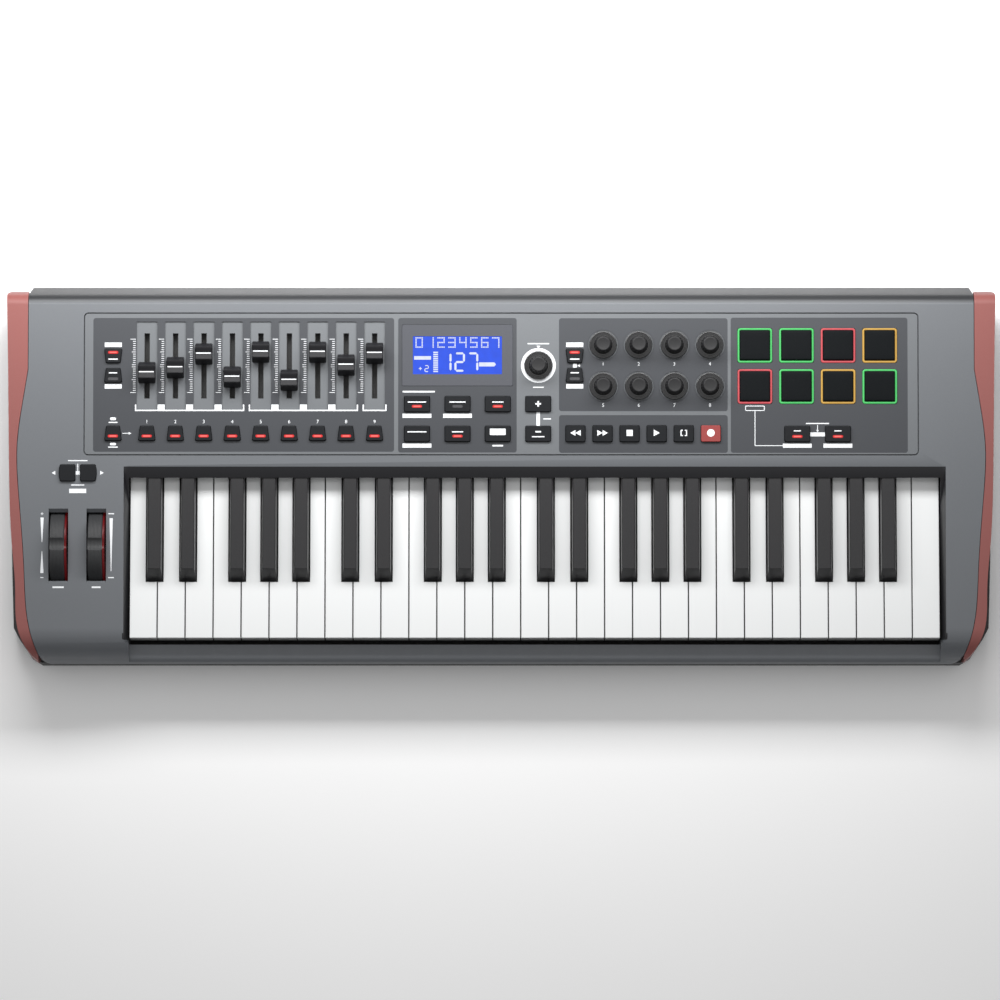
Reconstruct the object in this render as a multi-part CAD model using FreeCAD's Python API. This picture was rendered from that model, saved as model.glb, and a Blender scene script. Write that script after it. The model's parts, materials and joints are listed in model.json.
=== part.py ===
"""A 49-key controller keyboard with faders, rotary knobs, drum pads, a display and two wheels.

Frame: X runs from the bass keys to the treble keys, Y from the front edge to the rear edge, Z up.
The origin is on the ground under the middle of the case. Lengths are in millimetres.
The deck slopes, so everything on it is drawn in deck coordinates (x, v, w) and tilted into place:
v runs up the slope from the deck's point at y = 0, and w stands square to the deck, 0 at its surface.
"""

import FreeCAD, Part
import math
import os

V = FreeCAD.Vector

# ---- Overall sizes --------------------------------------------------------------------------------
CASE_W = 832.0           # over the two end cheeks
CASE_D = 316.0           # front edge to rear edge
FOOT_H = 4.0
FLOOR_T = 3.0            # floor of the bottom case
WALL = 3.0               # walls of both case halves
PART_Z = 24.0            # height of the joint between the two case halves
FRONT_FLAT_Z = 65.8      # height of the deck where its front rounding starts
DECK_SLOPE = 4.5         # degrees
FRONT_ROUND = 27.0       # depth of the front rounding
FRONT_TUCK = 3.0         # how far the front face leans in below its widest line
REAR_ROUND_R = 10.0
REAR_BEVEL = 8.0         # depth of the steep bevel behind the rear rounding
REAR_BEVEL_ANGLE = 60.0  # degrees below the horizontal

# ---- Outlines seen from above ---------------------------------------------------------------------
# Points are given as (distance in from the side of the case, distance from its front edge).
SEAM = [(18.5, 244.0), (13.2, 212.0), (9.4, 180.0), (11.2, 136.0), (15.7, 74.0), (19.2, 31.0)]
SEAM_TIP = (27.6, 5.0)   # front end of the seam between a cheek and the top case
SEAM_REAR_INSET = 8.0    # where the seam ends, in front of the rear edge
CORNER_X = 21.3          # side of the case to the rear corner of the top case
NOSE_X = 37.0            # side of the case to the start of its straight front edge
CHEEK_GAP = 0.5
CHEEK_LINE = [(2.5, 160.0), (5.2, 96.0), (8.1, 60.0), (10.1, 27.0), (22.0, 5.0)]
CHEEK_TIP = (26.5, 1.5)
CHEEK_REAR = 5.0         # rear edge of the case to the rear edge of a cheek
CHEEK_CORNER = 4.0
TRAY_REAR_INSET = 2.5    # how far in the bottom case's side is at its rear end
TRAY_LINE = [(2.0, 98.0), (2.7, 74.0), (4.2, 32.0)]
TRAY_NOSE = [(8.1, 24.4), (19.4, 7.7), (28.0, 2.5)]
TRAY_REAR_X = 20.0

# ---- Keys -----------------------------------------------------------------------------------------
KEY_PITCH = 23.5         # one white key, side to side
OCTAVES = 4
KEY_GAP = 0.9            # between two white keys
SHARP_GAP = 0.5          # between a black key and the white key beside it
SHARP_FRONT_GAP = 0.8    # in front of a black key
LEFT_BLOCK = 103.4       # left side of the case to the first key
KEY_FRONT = 19.5         # front edge of the case to the front of the white keys
KEY_SHOWN = 134.0        # length of a white key in front of the deck's lip
SHARP_SHOWN = 85.8       # the same for a black key
SHARP_W = 13.8
SHARP_TOP_W = 11.0
SHARP_SLANT = 9.0        # how far the front of a black key leans back
WHITE_TOP_Z = 59.0
WHITE_FACE_H = 18.0
STEM_H = 16.0
SHARP_RISE = 11.5        # black key above the white keys
KEY_WALL = 2.0
KEY_TOP_T = 2.5
WHITE_EDGE = 0.7         # rounding of a white key's edges
SHARP_EDGE = 1.0         # the same for a black key
SHARP_UNDER_LIP = 3.0    # how far a black key runs on behind the front of the lip
SHARP_TOP_T = 4.0        # skin over a black key's hollow
KEY_TRAVEL = 10.0        # at the front of a white key
HINGE_BACK = 178.5       # hinge line behind the front of the white keys
HINGE_Z = 45.0
ROD_R = 2.0
ROD_PLAY = 0.05          # radial clearance of a hinge bore or bearing
HINGE_BOSS_W = 9.0
HINGE_BOSS_L = 19.0
HINGE_BOSS_H = 14.0
STEM_OVERLAP = 3.0       # how far a key's stem runs into its hinge boss
HINGE_LUG_T = 2.5
WELL_GAP = 0.6           # between the outermost keys and the sides of the well
WELL_TAPER = 4.0         # how far the well's sides lean out at the deck
WELL_TAPER_DEPTH = 14.0
LIP_DEPTH = 9.5          # sloping lip over the back of the keys, in plan
LIP_GAP = 1.0            # above the black keys
RAIL_TOP_Z = 46.0        # rail in front of the keys
RAIL_W = 9.6
RAIL_GAP = 4.2           # between the rail and the keys
RAIL_ROUND = 5.7

# ---- Inside the keybed ----------------------------------------------------------------------------
CHASSIS_T = 3.0
CHASSIS_FRONT_GAP = 4.0
CHASSIS_REAR = 16.0      # chassis behind the hinge line
LUG_L = 12.0
LUG_TOP = 6.0            # top of a lug above the rod
CONTACT_BOARD_D = 40.0
CONTACT_BOARD_LIFT = 6.0
CONTACT_BOARD_SHORT = 8.0         # board shorter than the row of keys
CONTACT_BOARD_GAP = 6.0           # from the springs
CONTACT_POST_R = 3.0
CONTACT_POST_AT = (0.05, 0.35, 0.65, 0.95)   # shares of the row of keys
SPRING_W = 5.0
SPRING_T = 0.4
SPRING_L = 34.0
SPRING_FOOT = 8.0        # flat foot of a spring
SPRING_TIP = 4.0         # flat end of a spring, under its key
SPRING_BEND = 1.6        # thickness of a spring at its bend, in times its own
SPRING_GAP = 0.2
SPRING_START = 14.0      # foot of a spring in front of the hinge line

# ---- Control panel --------------------------------------------------------------------------------
PANEL_W = 700.0
PANEL_D = 118.5
PANEL_T = 3.0
PANEL_R = 3.0
PANEL_REAR = 25.3        # rear edge of the case to the panel, along the deck
PANEL_GROOVE = 1.0       # gap round the panel
LAYOUT_V = 73.94         # the v of the panel's middle that the places of the controls are given for
LEDGE_W = 4.0
LEDGE_T = 3.0
BOARD_DROP = 9.0         # underside of the panel to the top of the control board
BOARD_T = 1.6
BOARD_MARGIN = 6.0
POST_R = 2.5

# ---- Buttons --------------------------------------------------------------------------------------
BUTTON_PROUD = 2.2
BUTTON_TRAVEL = 1.0
BUTTON_GAP = 0.35
BUTTON_CORNER = 1.3
BUTTON_EDGE = 0.5
FLANGE = 1.0             # how far a button's flange reaches under the panel
FLANGE_T = 1.5
STOP_GAP = 0.1           # between a flange and what stops it
SWITCH_W = 6.0
SWITCH_GAP = 0.3         # left under a button that is pressed down
OCTAVE_OFFSETS = (-52.1, -34.15)  # from the first key
OCTAVE_V = -1.0
OCTAVE_W = 13.5
OCTAVE_D = 13.9
OCTAVE_BULGE = 1.2
OCTAVE_POST = 6.0        # depth of the posts that carry the octave board
OCTAVE_POST_SIDE = 5.0   # centre of a post beside an octave button

# ---- Faders ---------------------------------------------------------------------------------------
FADER_X = -297.8
FADER_PITCH = 23.92
FADER_V = 89.2
FADER_TRAVEL = 45.0
FADER_REST = (83.4, 87.6, 99.1, 79.7, 100.8, 77.0, 100.6, 89.8, 99.7)
FADER_BAY_W = 17.5
FADER_BAY_V = (52.3, 126.5)
FADER_BAY_DEPTH = 1.2
FADER_BAY_R = 1.0
FADER_SLOT_W = 4.6
FADER_SLOT_END = 2.0     # spare length at each end of a slot
CAP_W = 14.5
CAP_L = 18.0
CAP_H = 12.0
CAP_LIFT = 0.3
CAP_TOP_L = 10.5
CAP_DISH = 1.6
CAP_DRAFT = 0.8          # how far the sides of a cap lean in
STEM_LIFT = 2.0          # foot of a stem above the control board
STEM_W = 3.0
STEM_L = 6.0
STEM_PLAY = 0.3
FADER_BODY_W = 9.0
FADER_BODY_END = 8.0
FADER_BODY_GAP = 1.0     # under the panel

# ---- Knobs ----------------------------------------------------------------------------------------
KNOB_X = 85.7
KNOB_PITCH = 29.93
KNOB_V = (106.8, 72.0)
DATA_KNOB = (31.3, 89.5)
KNOB_RIM_R = 11.55
KNOB_RIM_H = 2.6
KNOB_BODY_R = 8.0
KNOB_TOP_R = 5.6
KNOB_H = 14.5
KNOB_EDGE = 0.8
SHAFT_LIFT = 1.5         # foot of a shaft above the control board
DATA_KNOB_SCALE = 1.035
KNOB_LIFT = 0.4
KNOB_DISH_R = 12.6       # shallow round recess that a knob stands in
KNOB_DISH_DEPTH = 0.6
SHAFT_R = 3.0
SHAFT_HOLE_R = 4.0
ENCODER_W = 12.4
ENCODER_BUSH_R = 4.5
ENCODER_BUSH_H = 1.5
ENCODER_GAP = 1.5        # under the panel
ENCODER_FLOOR = 1.0

# ---- Display --------------------------------------------------------------------------------------
WINDOW_X, WINDOW_V = -36.8, 98.1
WINDOW_W, WINDOW_D = 93.1, 51.6
WINDOW_T = 1.5
WINDOW_PROUD = 0.2
WINDOW_R = 1.4
SCREEN_W, SCREEN_D = 75.2, 32.3
SCREEN_RIM = 1.0         # opening in the panel round the screen
MODULE_EDGE = 5.0        # frame of the display module beside the screen
MODULE_GAP = 0.2

# ---- Pads -----------------------------------------------------------------------------------------
PAD_X = 213.3
PAD_PITCH = 35.0
PAD_V = (106.4, 71.8)
PAD_SIZE = 25.5
PAD_PROUD = 2.8
PAD_EDGE = 0.8
PAD_FRAME = 28.9
PAD_FRAME_PROUD = 1.0
PAD_FRAME_FLANGE = 1.5   # how far a light frame's flange reaches under the panel
PAD_FRAME_EDGE = 0.4
PAD_CORNER = 1.6
PAD_FRAME_CORNER = 2.1
PAD_GAP = 0.3
PAD_TRAVEL = 1.0

# ---- Wheels ---------------------------------------------------------------------------------------
WHEEL_OFFSETS = (-59.25, -27.4)   # from the first key: pitch wheel, mod wheel
WHEEL_BACK = 76.6                 # wheel axle behind the front of the white keys
WHEEL_R = 33.0
WHEEL_W = 14.0
WHEEL_PROUD = 11.5
WHEEL_NOTCH_R = 8.0
WHEEL_NOTCH_DEPTH = 2.2
WHEEL_RIM_T = 5.0
WHEEL_WEB_T = 5.0
WHEEL_HUB_R = 8.0
WHEEL_EDGE = 1.2
AXLE_R = 3.0
SLOT_SIDE_GAP = 1.25
SLOT_END_GAP = 3.0
WHEEL_ROOM = 1.5         # left all round a wheel inside the case
SLOT_BEVEL = 3.0
COLLAR_T = 2.0
COLLAR_DEPTH = 9.0
CRADLE_T = 3.0
CRADLE_GAP = 1.0         # beside a wheel
CRADLE_HALF_D = 22.0     # half the depth of the cradle's base
UPRIGHT_HALF_D = 8.0     # half the depth of its uprights
UPRIGHT_TOP = 6.0        # top of an upright above the axle

# ---- Rear sockets and boards ----------------------------------------------------------------------
MAIN_BOARD_Z = 38.0
MAIN_BOARD_W = 230.0
MAIN_BOARD_D = 62.0
MAIN_BOARD_GAP = 1.0     # behind the board, to the rear wall
MAIN_BOARD_X = 125.0
PILLAR_R = 3.5           # pillars under the main board
PILLAR_INSET = 6.0
SOCKET_X = {"usb": 165.0, "midi": (132.0, 106.0), "pedal": (72.0, 46.0)}
SOCKET_GAP = 0.3
SOCKET_SET_IN = 0.5      # socket faces behind the case's rear face
USB_W, USB_D, USB_H = 12.0, 16.0, 11.0
USB_HOLE_W, USB_HOLE_H, USB_HOLE_D = 8.45, 7.8, 9.5
USB_TONGUE_W, USB_TONGUE_H, USB_TONGUE_D = 5.6, 3.2, 8.5
MIDI_W, MIDI_D, MIDI_H = 20.0, 15.0, 19.0
MIDI_RING_R, MIDI_CORE_R, MIDI_RING_D = 7.0, 5.6, 9.0
MIDI_PIN_R, MIDI_PIN_CIRCLE_R = 0.8, 3.75
JACK_W, JACK_D, JACK_H = 15.0, 26.0, 13.0
JACK_NOSE_R, JACK_NOSE_L = 4.5, 3.0
JACK_BORE_R, JACK_BORE_L = 3.25, 24.0

# ---- Feet and screws ------------------------------------------------------------------------------
FOOT_R = 9.0
FOOT_EDGE = 1.0
FOOT_INSET_X, FOOT_INSET_Y = 60.0, 28.0
SCREW_R, SCREW_HEAD_R, SCREW_HEAD_H = 1.5, 2.8, 2.4
SCREW_BOSS_R = 4.5
SCREW_BOSS_TOP = 20.0
SCREW_LENGTH = 16.0
SCREW_SEAT_Z = 12.0
SCREW_PLAY = 0.2
SCREW_DRIVE_W, SCREW_DRIVE_L, SCREW_DRIVE_DEPTH = 0.8, 3.2, 1.2
SCREW_INSET_X = 28.0     # sides of the case to the outer screws
SCREW_FRONT, SCREW_REAR = 40.0, 15.5
SCREW_REAR_X = (-250.0, 0.0, 250.0)

# ---- Worked out from the sizes above --------------------------------------------------------------
HALF_W = CASE_W / 2
FRONT_Y = -CASE_D / 2
REAR_Y = CASE_D / 2
TAN = math.tan(math.radians(DECK_SLOPE))
SIN = math.sin(math.radians(DECK_SLOPE))
COS = math.cos(math.radians(DECK_SLOPE))
FRONT_FLAT_Y = FRONT_Y + FRONT_ROUND
DECK_Z0 = FRONT_FLAT_Z - FRONT_FLAT_Y * TAN      # deck height at y = 0
TRAY_Z = FOOT_H + FLOOR_T
WHITE_KEYS = 7 * OCTAVES + 1
KEYS_LEFT = -HALF_W + LEFT_BLOCK
KEYS_RIGHT = KEYS_LEFT + WHITE_KEYS * KEY_PITCH
KEYS_FRONT_Y = FRONT_Y + KEY_FRONT
LIP_Y = KEYS_FRONT_Y + KEY_SHOWN
SHARP_FRONT_Y = LIP_Y - SHARP_SHOWN
HINGE_Y = KEYS_FRONT_Y + HINGE_BACK
BOSS_Y = HINGE_Y - HINGE_BOSS_L / 2               # front of the hinge bosses
CONTACT_Y = HINGE_Y - SPRING_START - SPRING_L - CONTACT_BOARD_D / 2 - CONTACT_BOARD_GAP
SHARP_TOP_Z = WHITE_TOP_Z + SHARP_RISE
LIP_Z = SHARP_TOP_Z + LIP_GAP
WELL_X0 = KEYS_LEFT - WELL_GAP
WELL_X1 = KEYS_RIGHT + WELL_GAP
RAIL_Y = KEYS_FRONT_Y - RAIL_GAP
PANEL_V1 = REAR_Y / COS - PANEL_REAR
PANEL_V0 = PANEL_V1 - PANEL_D
PANEL_V = (PANEL_V0 + PANEL_V1) / 2
LAYOUT_SHIFT = PANEL_V - LAYOUT_V                # moves the controls with the panel
BOARD_W = -PANEL_T - BOARD_DROP                  # top of the control board
WHEEL_X = [KEYS_LEFT + offset for offset in WHEEL_OFFSETS]
WHEEL_Y = KEYS_FRONT_Y + WHEEL_BACK
WHEEL_Z = DECK_Z0 + WHEEL_Y * TAN - (WHEEL_R - WHEEL_PROUD)
FAR = 1000.0                                     # longer than anything on the case
THROUGH = 20.0                                   # deeper than the panel, for what is cut through it
ABOVE = 5.0                                      # higher than the deck, for what is cut into it


# ---- Drawing helpers ------------------------------------------------------------------------------
def box(x0, x1, y0, y1, z0, z1):
    return Part.makeBox(x1 - x0, y1 - y0, z1 - z0, V(x0, y0, z0))


def block(x, y, w, d, z0, z1):
    """A box centred on x, y."""
    return box(x - w / 2, x + w / 2, y - d / 2, y + d / 2, z0, z1)


def plate(x, y, w, d, r, z0, z1):
    """A flat block with its four upright edges rounded."""
    body = block(x, y, w, d, z0, z1)
    upright = [e for e in body.Edges if abs(e.tangentAt(e.FirstParameter).z) > 0.9]
    return body.makeFillet(r, upright)


def disc(x, y, r, z0, z1):
    return Part.makeCylinder(r, z1 - z0, V(x, y, z0))


def rod_x(x0, x1, y, z, r):
    """A round bar along X."""
    return Part.makeCylinder(r, x1 - x0, V(x0, y, z), V(1, 0, 0))


def rod_y(x, y0, y1, z, r):
    """A round bar along Y."""
    return Part.makeCylinder(r, y1 - y0, V(x, y0, z), V(0, 1, 0))


def prism_z(points, z0, z1):
    """An upright prism over a closed outline of (x, y) points."""
    wire = Part.makePolygon([V(x, y, z0) for x, y in points + points[:1]])
    return Part.Face(wire).extrude(V(0, 0, z1 - z0))


def prism_x(points, x0, x1):
    """A prism along X over a closed outline of (y, z) points."""
    wire = Part.makePolygon([V(x0, y, z) for y, z in points + points[:1]])
    return Part.Face(wire).extrude(V(x1 - x0, 0, 0))


def frustum(low, z0, high, z1):
    """A solid between two rectangles (x0, x1, y0, y1), one at z0 and one at z1, with flat sides."""
    wedge = Part.makeWedge(low[0], z0, -low[3], -high[3], high[0], low[1], z1, -low[2], -high[2], high[1])
    wedge.rotate(V(0, 0, 0), V(1, 0, 0), 90)
    return wedge


def on_deck(shape):
    """Tilts a shape drawn in deck coordinates into its place on the case."""
    placed = shape.copy()
    placed.rotate(V(0, 0, 0), V(1, 0, 0), DECK_SLOPE)
    placed.translate(V(0, 0, DECK_Z0))
    return placed


def joined(shapes):
    return shapes[0].multiFuse(shapes[1:]).removeSplitter()


def high_edges(body, w):
    """The edges of a shape that lie at height w."""
    return [e for e in body.Edges if abs(e.BoundBox.ZMin - w) < 1e-6 and abs(e.BoundBox.ZMax - w) < 1e-6]


def layout(v):
    """A place on the panel, moved with the panel."""
    return v + LAYOUT_SHIFT


# ---- Where the controls are -----------------------------------------------------------------------
def trapezoid(x, v, front_w, rear_w, depth):
    return {"x": x, "v": layout(v), "front": front_w, "rear": rear_w, "depth": depth}


def rectangle(x, v, w, depth):
    return trapezoid(x, v, w, w, depth)


BUTTONS = {
    "fader_buttons": [trapezoid(FADER_X + i * FADER_PITCH, 32.3, 14.3, 11.0, 12.3) for i in range(9)]
    + [trapezoid(-326.2, 32.3, 14.3, 11.0, 12.3)],
    "mode_buttons": [
        trapezoid(-326.2, 97.6, 11.8, 14.8, 11.8),
        trapezoid(-326.2, 81.2, 14.8, 11.8, 11.8),
        trapezoid(61.8, 97.6, 11.8, 14.8, 11.8),
        trapezoid(61.8, 81.3, 14.8, 11.8, 11.8),
        rectangle(248.8, 31.8, 21.3, 13.1),
        rectangle(282.9, 31.8, 21.3, 13.1),
    ],
    "edit_buttons": [rectangle(x, v, 21.3, 13.1) for v in (57.0, 31.9) for x in (-70.8, -36.7, -2.9, 31.1)],
    "transport_buttons": [rectangle(62.4 + i * 22.75, 32.0, 16.4, 13.8) for i in range(6)],
}
OCTAVE_X = [KEYS_LEFT + offset for offset in OCTAVE_OFFSETS]
FADERS = [(FADER_X + i * FADER_PITCH, layout(v)) for i, v in enumerate(FADER_REST)]
KNOBS = [(KNOB_X + i * KNOB_PITCH, layout(v)) for v in KNOB_V for i in range(4)]
DATA_KNOB_AT = (DATA_KNOB[0], layout(DATA_KNOB[1]))
PADS = [(PAD_X + i * PAD_PITCH, layout(v)) for v in PAD_V for i in range(4)]
POSTS = [(x, layout(v)) for v in (22.0, 125.5) for x in (-343.0, -88.3, 46.0, 191.7, 343.0)]


# ---- Case outlines --------------------------------------------------------------------------------
def deck_centre(radius):
    """The centre, as (y, z), of the front rounding, which starts tangent to the deck."""
    return FRONT_FLAT_Y + radius * SIN, FRONT_FLAT_Z - radius * COS


def case_profile(inset, bottom):
    """The case's side view, drawn in by inset and running down to bottom, as a face at x = 0."""
    front_r = FRONT_ROUND / (1 - SIN)
    fy, fz = deck_centre(front_r)
    r = front_r - inset
    tilt = math.radians(90 + DECK_SLOPE)
    arc_start = V(0, fy - r, fz)
    arc_mid = V(0, fy + r * math.cos((math.pi + tilt) / 2), fz + r * math.sin((math.pi + tilt) / 2))
    arc_end = V(0, fy + r * math.cos(tilt), fz + r * math.sin(tilt))
    fall = math.radians(REAR_BEVEL_ANGLE)
    rear_y = REAR_Y - REAR_BEVEL - REAR_ROUND_R * (SIN + math.sin(fall))
    rear_z = DECK_Z0 + rear_y * TAN
    cy = rear_y + REAR_ROUND_R * SIN
    cz = rear_z - REAR_ROUND_R * COS
    q = REAR_ROUND_R - inset
    turn = (math.radians(-DECK_SLOPE) + fall) / 2
    rear_start = V(0, cy - q * SIN, cz + q * COS)
    rear_mid = V(0, cy + q * math.sin(turn), cz + q * math.cos(turn))
    rear_end = V(0, cy + q * math.sin(fall), cz + q * math.cos(fall))
    wall_y = REAR_Y - inset
    bevel_foot = V(0, wall_y, rear_end.z - (wall_y - rear_end.y) * math.tan(fall))
    front_foot = V(0, FRONT_Y + FRONT_TUCK + inset, bottom)
    rear_foot = V(0, wall_y, bottom)
    edges = [
        Part.makeLine(front_foot, arc_start),
        Part.Arc(arc_start, arc_mid, arc_end).toShape(),
        Part.makeLine(arc_end, rear_start),
        Part.Arc(rear_start, rear_mid, rear_end).toShape(),
        Part.makeLine(rear_end, bevel_foot),
        Part.makeLine(bevel_foot, rear_foot),
        Part.makeLine(rear_foot, front_foot),
    ]
    return Part.Face(Part.Wire(edges))


def case_bar(inset, bottom, half):
    """The side view drawn out along X, half to each side."""
    bar = case_profile(inset, bottom).extrude(V(2 * half, 0, 0))
    bar.translate(V(-half, 0, 0))
    return bar


def curve(points):
    """A smooth edge through (x, y) points."""
    spline = Part.BSplineCurve()
    spline.interpolate([V(x, y, 0) for x, y in points])
    return spline.toShape()


def seam_points(out):
    """The seam on the right-hand side, moved out by a gap."""
    return [(HALF_W - inset + out, FRONT_Y + y) for inset, y in SEAM + [SEAM_TIP]]


def chain(edges, points):
    """Adds to edges the straight lines at z = 0 from each of the (x, y) points to the next."""
    return edges + [Part.makeLine(V(a[0], a[1], 0), V(b[0], b[1], 0)) for a, b in zip(points, points[1:])]


def mirrored(shape):
    return shape.mirror(V(0, 0, 0), V(1, 0, 0))


def top_outline(inset):
    """The right half of the top case's plan, drawn in by inset along X, as an upright prism."""
    seam = seam_points(-inset)
    rear_x = HALF_W - SEAM[0][0] - inset
    run = [
        seam[-1],
        (HALF_W - NOSE_X - inset, FRONT_Y),
        (0, FRONT_Y),
        (0, REAR_Y),
        (HALF_W - CORNER_X - inset, REAR_Y),
        (rear_x, REAR_Y - SEAM_REAR_INSET),
        seam[0],
    ]
    face = Part.Face(Part.Wire(Part.sortEdges(chain([curve(seam)], run))[0]))
    return face.extrude(V(0, 0, FAR))


def both_sides(half):
    return half.fuse(mirrored(half)).removeSplitter()


def cheek(side):
    """One end cheek: the ground between the seam and its own outer line, up to the case's profile."""
    seam = seam_points(CHEEK_GAP)
    outer = [(HALF_W - inset, FRONT_Y + y) for inset, y in CHEEK_LINE]
    tip = (HALF_W - CHEEK_TIP[0], FRONT_Y + CHEEK_TIP[1])
    rear_y = REAR_Y - CHEEK_REAR
    corner = CHEEK_CORNER * (1 - math.sqrt(0.5))
    side_top = (HALF_W, rear_y - CHEEK_CORNER)
    bend = Part.Arc(
        V(side_top[0], side_top[1], 0),
        V(HALF_W - corner, rear_y - corner, 0),
        V(HALF_W - CHEEK_CORNER, rear_y, 0),
    ).toShape()
    edges = [curve(seam), bend, curve([side_top] + outer)]
    edges = chain(edges, [seam[-1], tip, outer[-1]])
    edges = chain(edges, [(HALF_W - CHEEK_CORNER, rear_y), (seam[0][0], rear_y), seam[0]])
    face = Part.Face(Part.Wire(Part.sortEdges(edges)[0]))
    ground = face.extrude(V(0, 0, FAR))
    ground.translate(V(0, 0, PART_Z))
    body = ground.common(case_bar(0, PART_Z, HALF_W + 1))
    return body if side > 0 else mirrored(body)


def tray_outline(inset):
    """The right half of the bottom case's plan, drawn in by inset, as a closed list of (x, y) points."""
    rear_side = (HALF_W - TRAY_REAR_INSET - inset, REAR_Y - CHEEK_REAR - CHEEK_CORNER - inset)
    side = [(HALF_W - i - inset, FRONT_Y + y) for i, y in TRAY_LINE]
    nose = [(HALF_W - i - inset, FRONT_Y + y + inset) for i, y in TRAY_NOSE]
    rear_x = HALF_W - TRAY_REAR_X - inset
    return [rear_side] + side + nose + [
        (0, nose[-1][1]),
        (0, REAR_Y - inset),
        (rear_x, REAR_Y - inset),
        (rear_x + CHEEK_REAR, REAR_Y - CHEEK_REAR - inset),
        (rear_side[0] - CHEEK_CORNER, REAR_Y - CHEEK_REAR - inset),
    ]


# ---- Keys -----------------------------------------------------------------------------------------
# Where each black key's centre is, from the joint between the two white keys beside it.
SHARP_OFFSET = {"c_sharp": -2.3, "d_sharp": 2.3, "f_sharp": -3.4, "g_sharp": 0.0, "a_sharp": 3.4}
WHITE_NAMES = ["c", "d", "e", "f", "g", "a", "b"]
SHARP_AFTER = {"c": "c_sharp", "d": "d_sharp", "f": "f_sharp", "g": "g_sharp", "a": "a_sharp"}


def sharp_centre(joint, name):
    """The X of a black key over the joint between white keys number joint - 1 and joint."""
    return KEYS_LEFT + joint * KEY_PITCH + SHARP_OFFSET[name]


def white_sides(number):
    """The X limits of a white key: at its front, and between the black keys."""
    name = WHITE_NAMES[number % 7]
    x0 = KEYS_LEFT + number * KEY_PITCH + KEY_GAP / 2
    x1 = x0 + KEY_PITCH - KEY_GAP
    side = SHARP_W / 2 + SHARP_GAP
    below = WHITE_NAMES[number % 7 - 1]
    s0, s1 = x0, x1
    if number > 0 and below in SHARP_AFTER:
        s0 = sharp_centre(number, SHARP_AFTER[below]) + side
    if number < WHITE_KEYS - 1 and name in SHARP_AFTER:
        s1 = sharp_centre(number + 1, SHARP_AFTER[name]) - side
    return x0, x1, s0, s1


def hinge_centre(number):
    """The X of a white key's hinge boss. The last key's is where the same note's is in each octave."""
    x0, x1, s0, s1 = white_sides(number % 7 + 7 if number == WHITE_KEYS - 1 else number)
    octave = (WHITE_KEYS - 1 - 7) * KEY_PITCH if number == WHITE_KEYS - 1 else 0.0
    return (s0 + s1) / 2 + octave


def hinge_boss(x):
    """The block round the hinge rod at the back of a key."""
    return block(x, HINGE_Y, HINGE_BOSS_W, HINGE_BOSS_L, HINGE_Z - HINGE_BOSS_H / 2, HINGE_Z + HINGE_BOSS_H / 2)


def hinge_bore(x):
    return rod_x(x - HINGE_BOSS_W, x + HINGE_BOSS_W, HINGE_Y, HINGE_Z, ROD_R + ROD_PLAY)


def rounded_above(body, low_z, radius, keep):
    """Rounds the edges of a key that lie above low_z, where keep says so."""
    return body.makeFillet(radius, [e for e in body.Edges if e.BoundBox.ZMin > low_z and keep(e)])


def white_key(number):
    x0, x1, s0, s1 = white_sides(number)
    cut_y = SHARP_FRONT_Y - SHARP_FRONT_GAP
    low = WHITE_TOP_Z - WHITE_FACE_H
    stem_low = WHITE_TOP_Z - STEM_H
    boss = hinge_boss(hinge_centre(number))
    head = box(x0, x1, KEYS_FRONT_Y, cut_y, low, WHITE_TOP_Z)
    stem = box(s0, s1, cut_y - 2 * KEY_WALL - 1, BOSS_Y + STEM_OVERLAP, stem_low, WHITE_TOP_Z)
    shell = head.fuse(stem).removeSplitter()
    shell = rounded_above(shell, WHITE_TOP_Z - 0.01, WHITE_EDGE, lambda e: e.BoundBox.YMin < LIP_Y)
    w = KEY_WALL
    head_hollow = box(x0 + w, x1 - w, KEYS_FRONT_Y + w, cut_y - w, low - 1, WHITE_TOP_Z - KEY_TOP_T)
    stem_hollow = box(s0 + w, s1 - w, cut_y - w - 1, BOSS_Y - w, stem_low - 5, WHITE_TOP_Z - KEY_TOP_T)
    key = shell.cut(head_hollow.fuse(stem_hollow)).fuse(boss)
    return key.cut(hinge_bore(hinge_centre(number))).removeSplitter()


def black_key(joint, name):
    x = sharp_centre(joint, name)
    half = SHARP_W / 2
    top = SHARP_TOP_W / 2
    base_z = WHITE_TOP_Z - KEY_TOP_T
    low = WHITE_TOP_Z - KEY_TRAVEL
    rear_y = LIP_Y + SHARP_UNDER_LIP
    cap = frustum(
        (x - half, x + half, SHARP_FRONT_Y, rear_y),
        base_z,
        (x - top, x + top, SHARP_FRONT_Y + SHARP_SLANT, rear_y),
        SHARP_TOP_Z,
    )
    cap = rounded_above(cap, base_z + 0.1, SHARP_EDGE, lambda e: e.BoundBox.YMin < rear_y - 1)
    skirt = box(x - half, x + half, SHARP_FRONT_Y, rear_y, low, base_z)
    stem = box(x - HINGE_BOSS_W / 2, x + HINGE_BOSS_W / 2, rear_y - 3, BOSS_Y + STEM_OVERLAP, low, WHITE_TOP_Z)
    hollow = box(x - top + KEY_WALL, x + top - KEY_WALL, SHARP_FRONT_Y + SHARP_SLANT, rear_y - SHARP_TOP_T,
                 low - 1, SHARP_TOP_Z - SHARP_TOP_T)
    return joined([cap, skirt]).cut(hollow).fuse([stem, hinge_boss(x)]).cut(hinge_bore(x)).removeSplitter()


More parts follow.
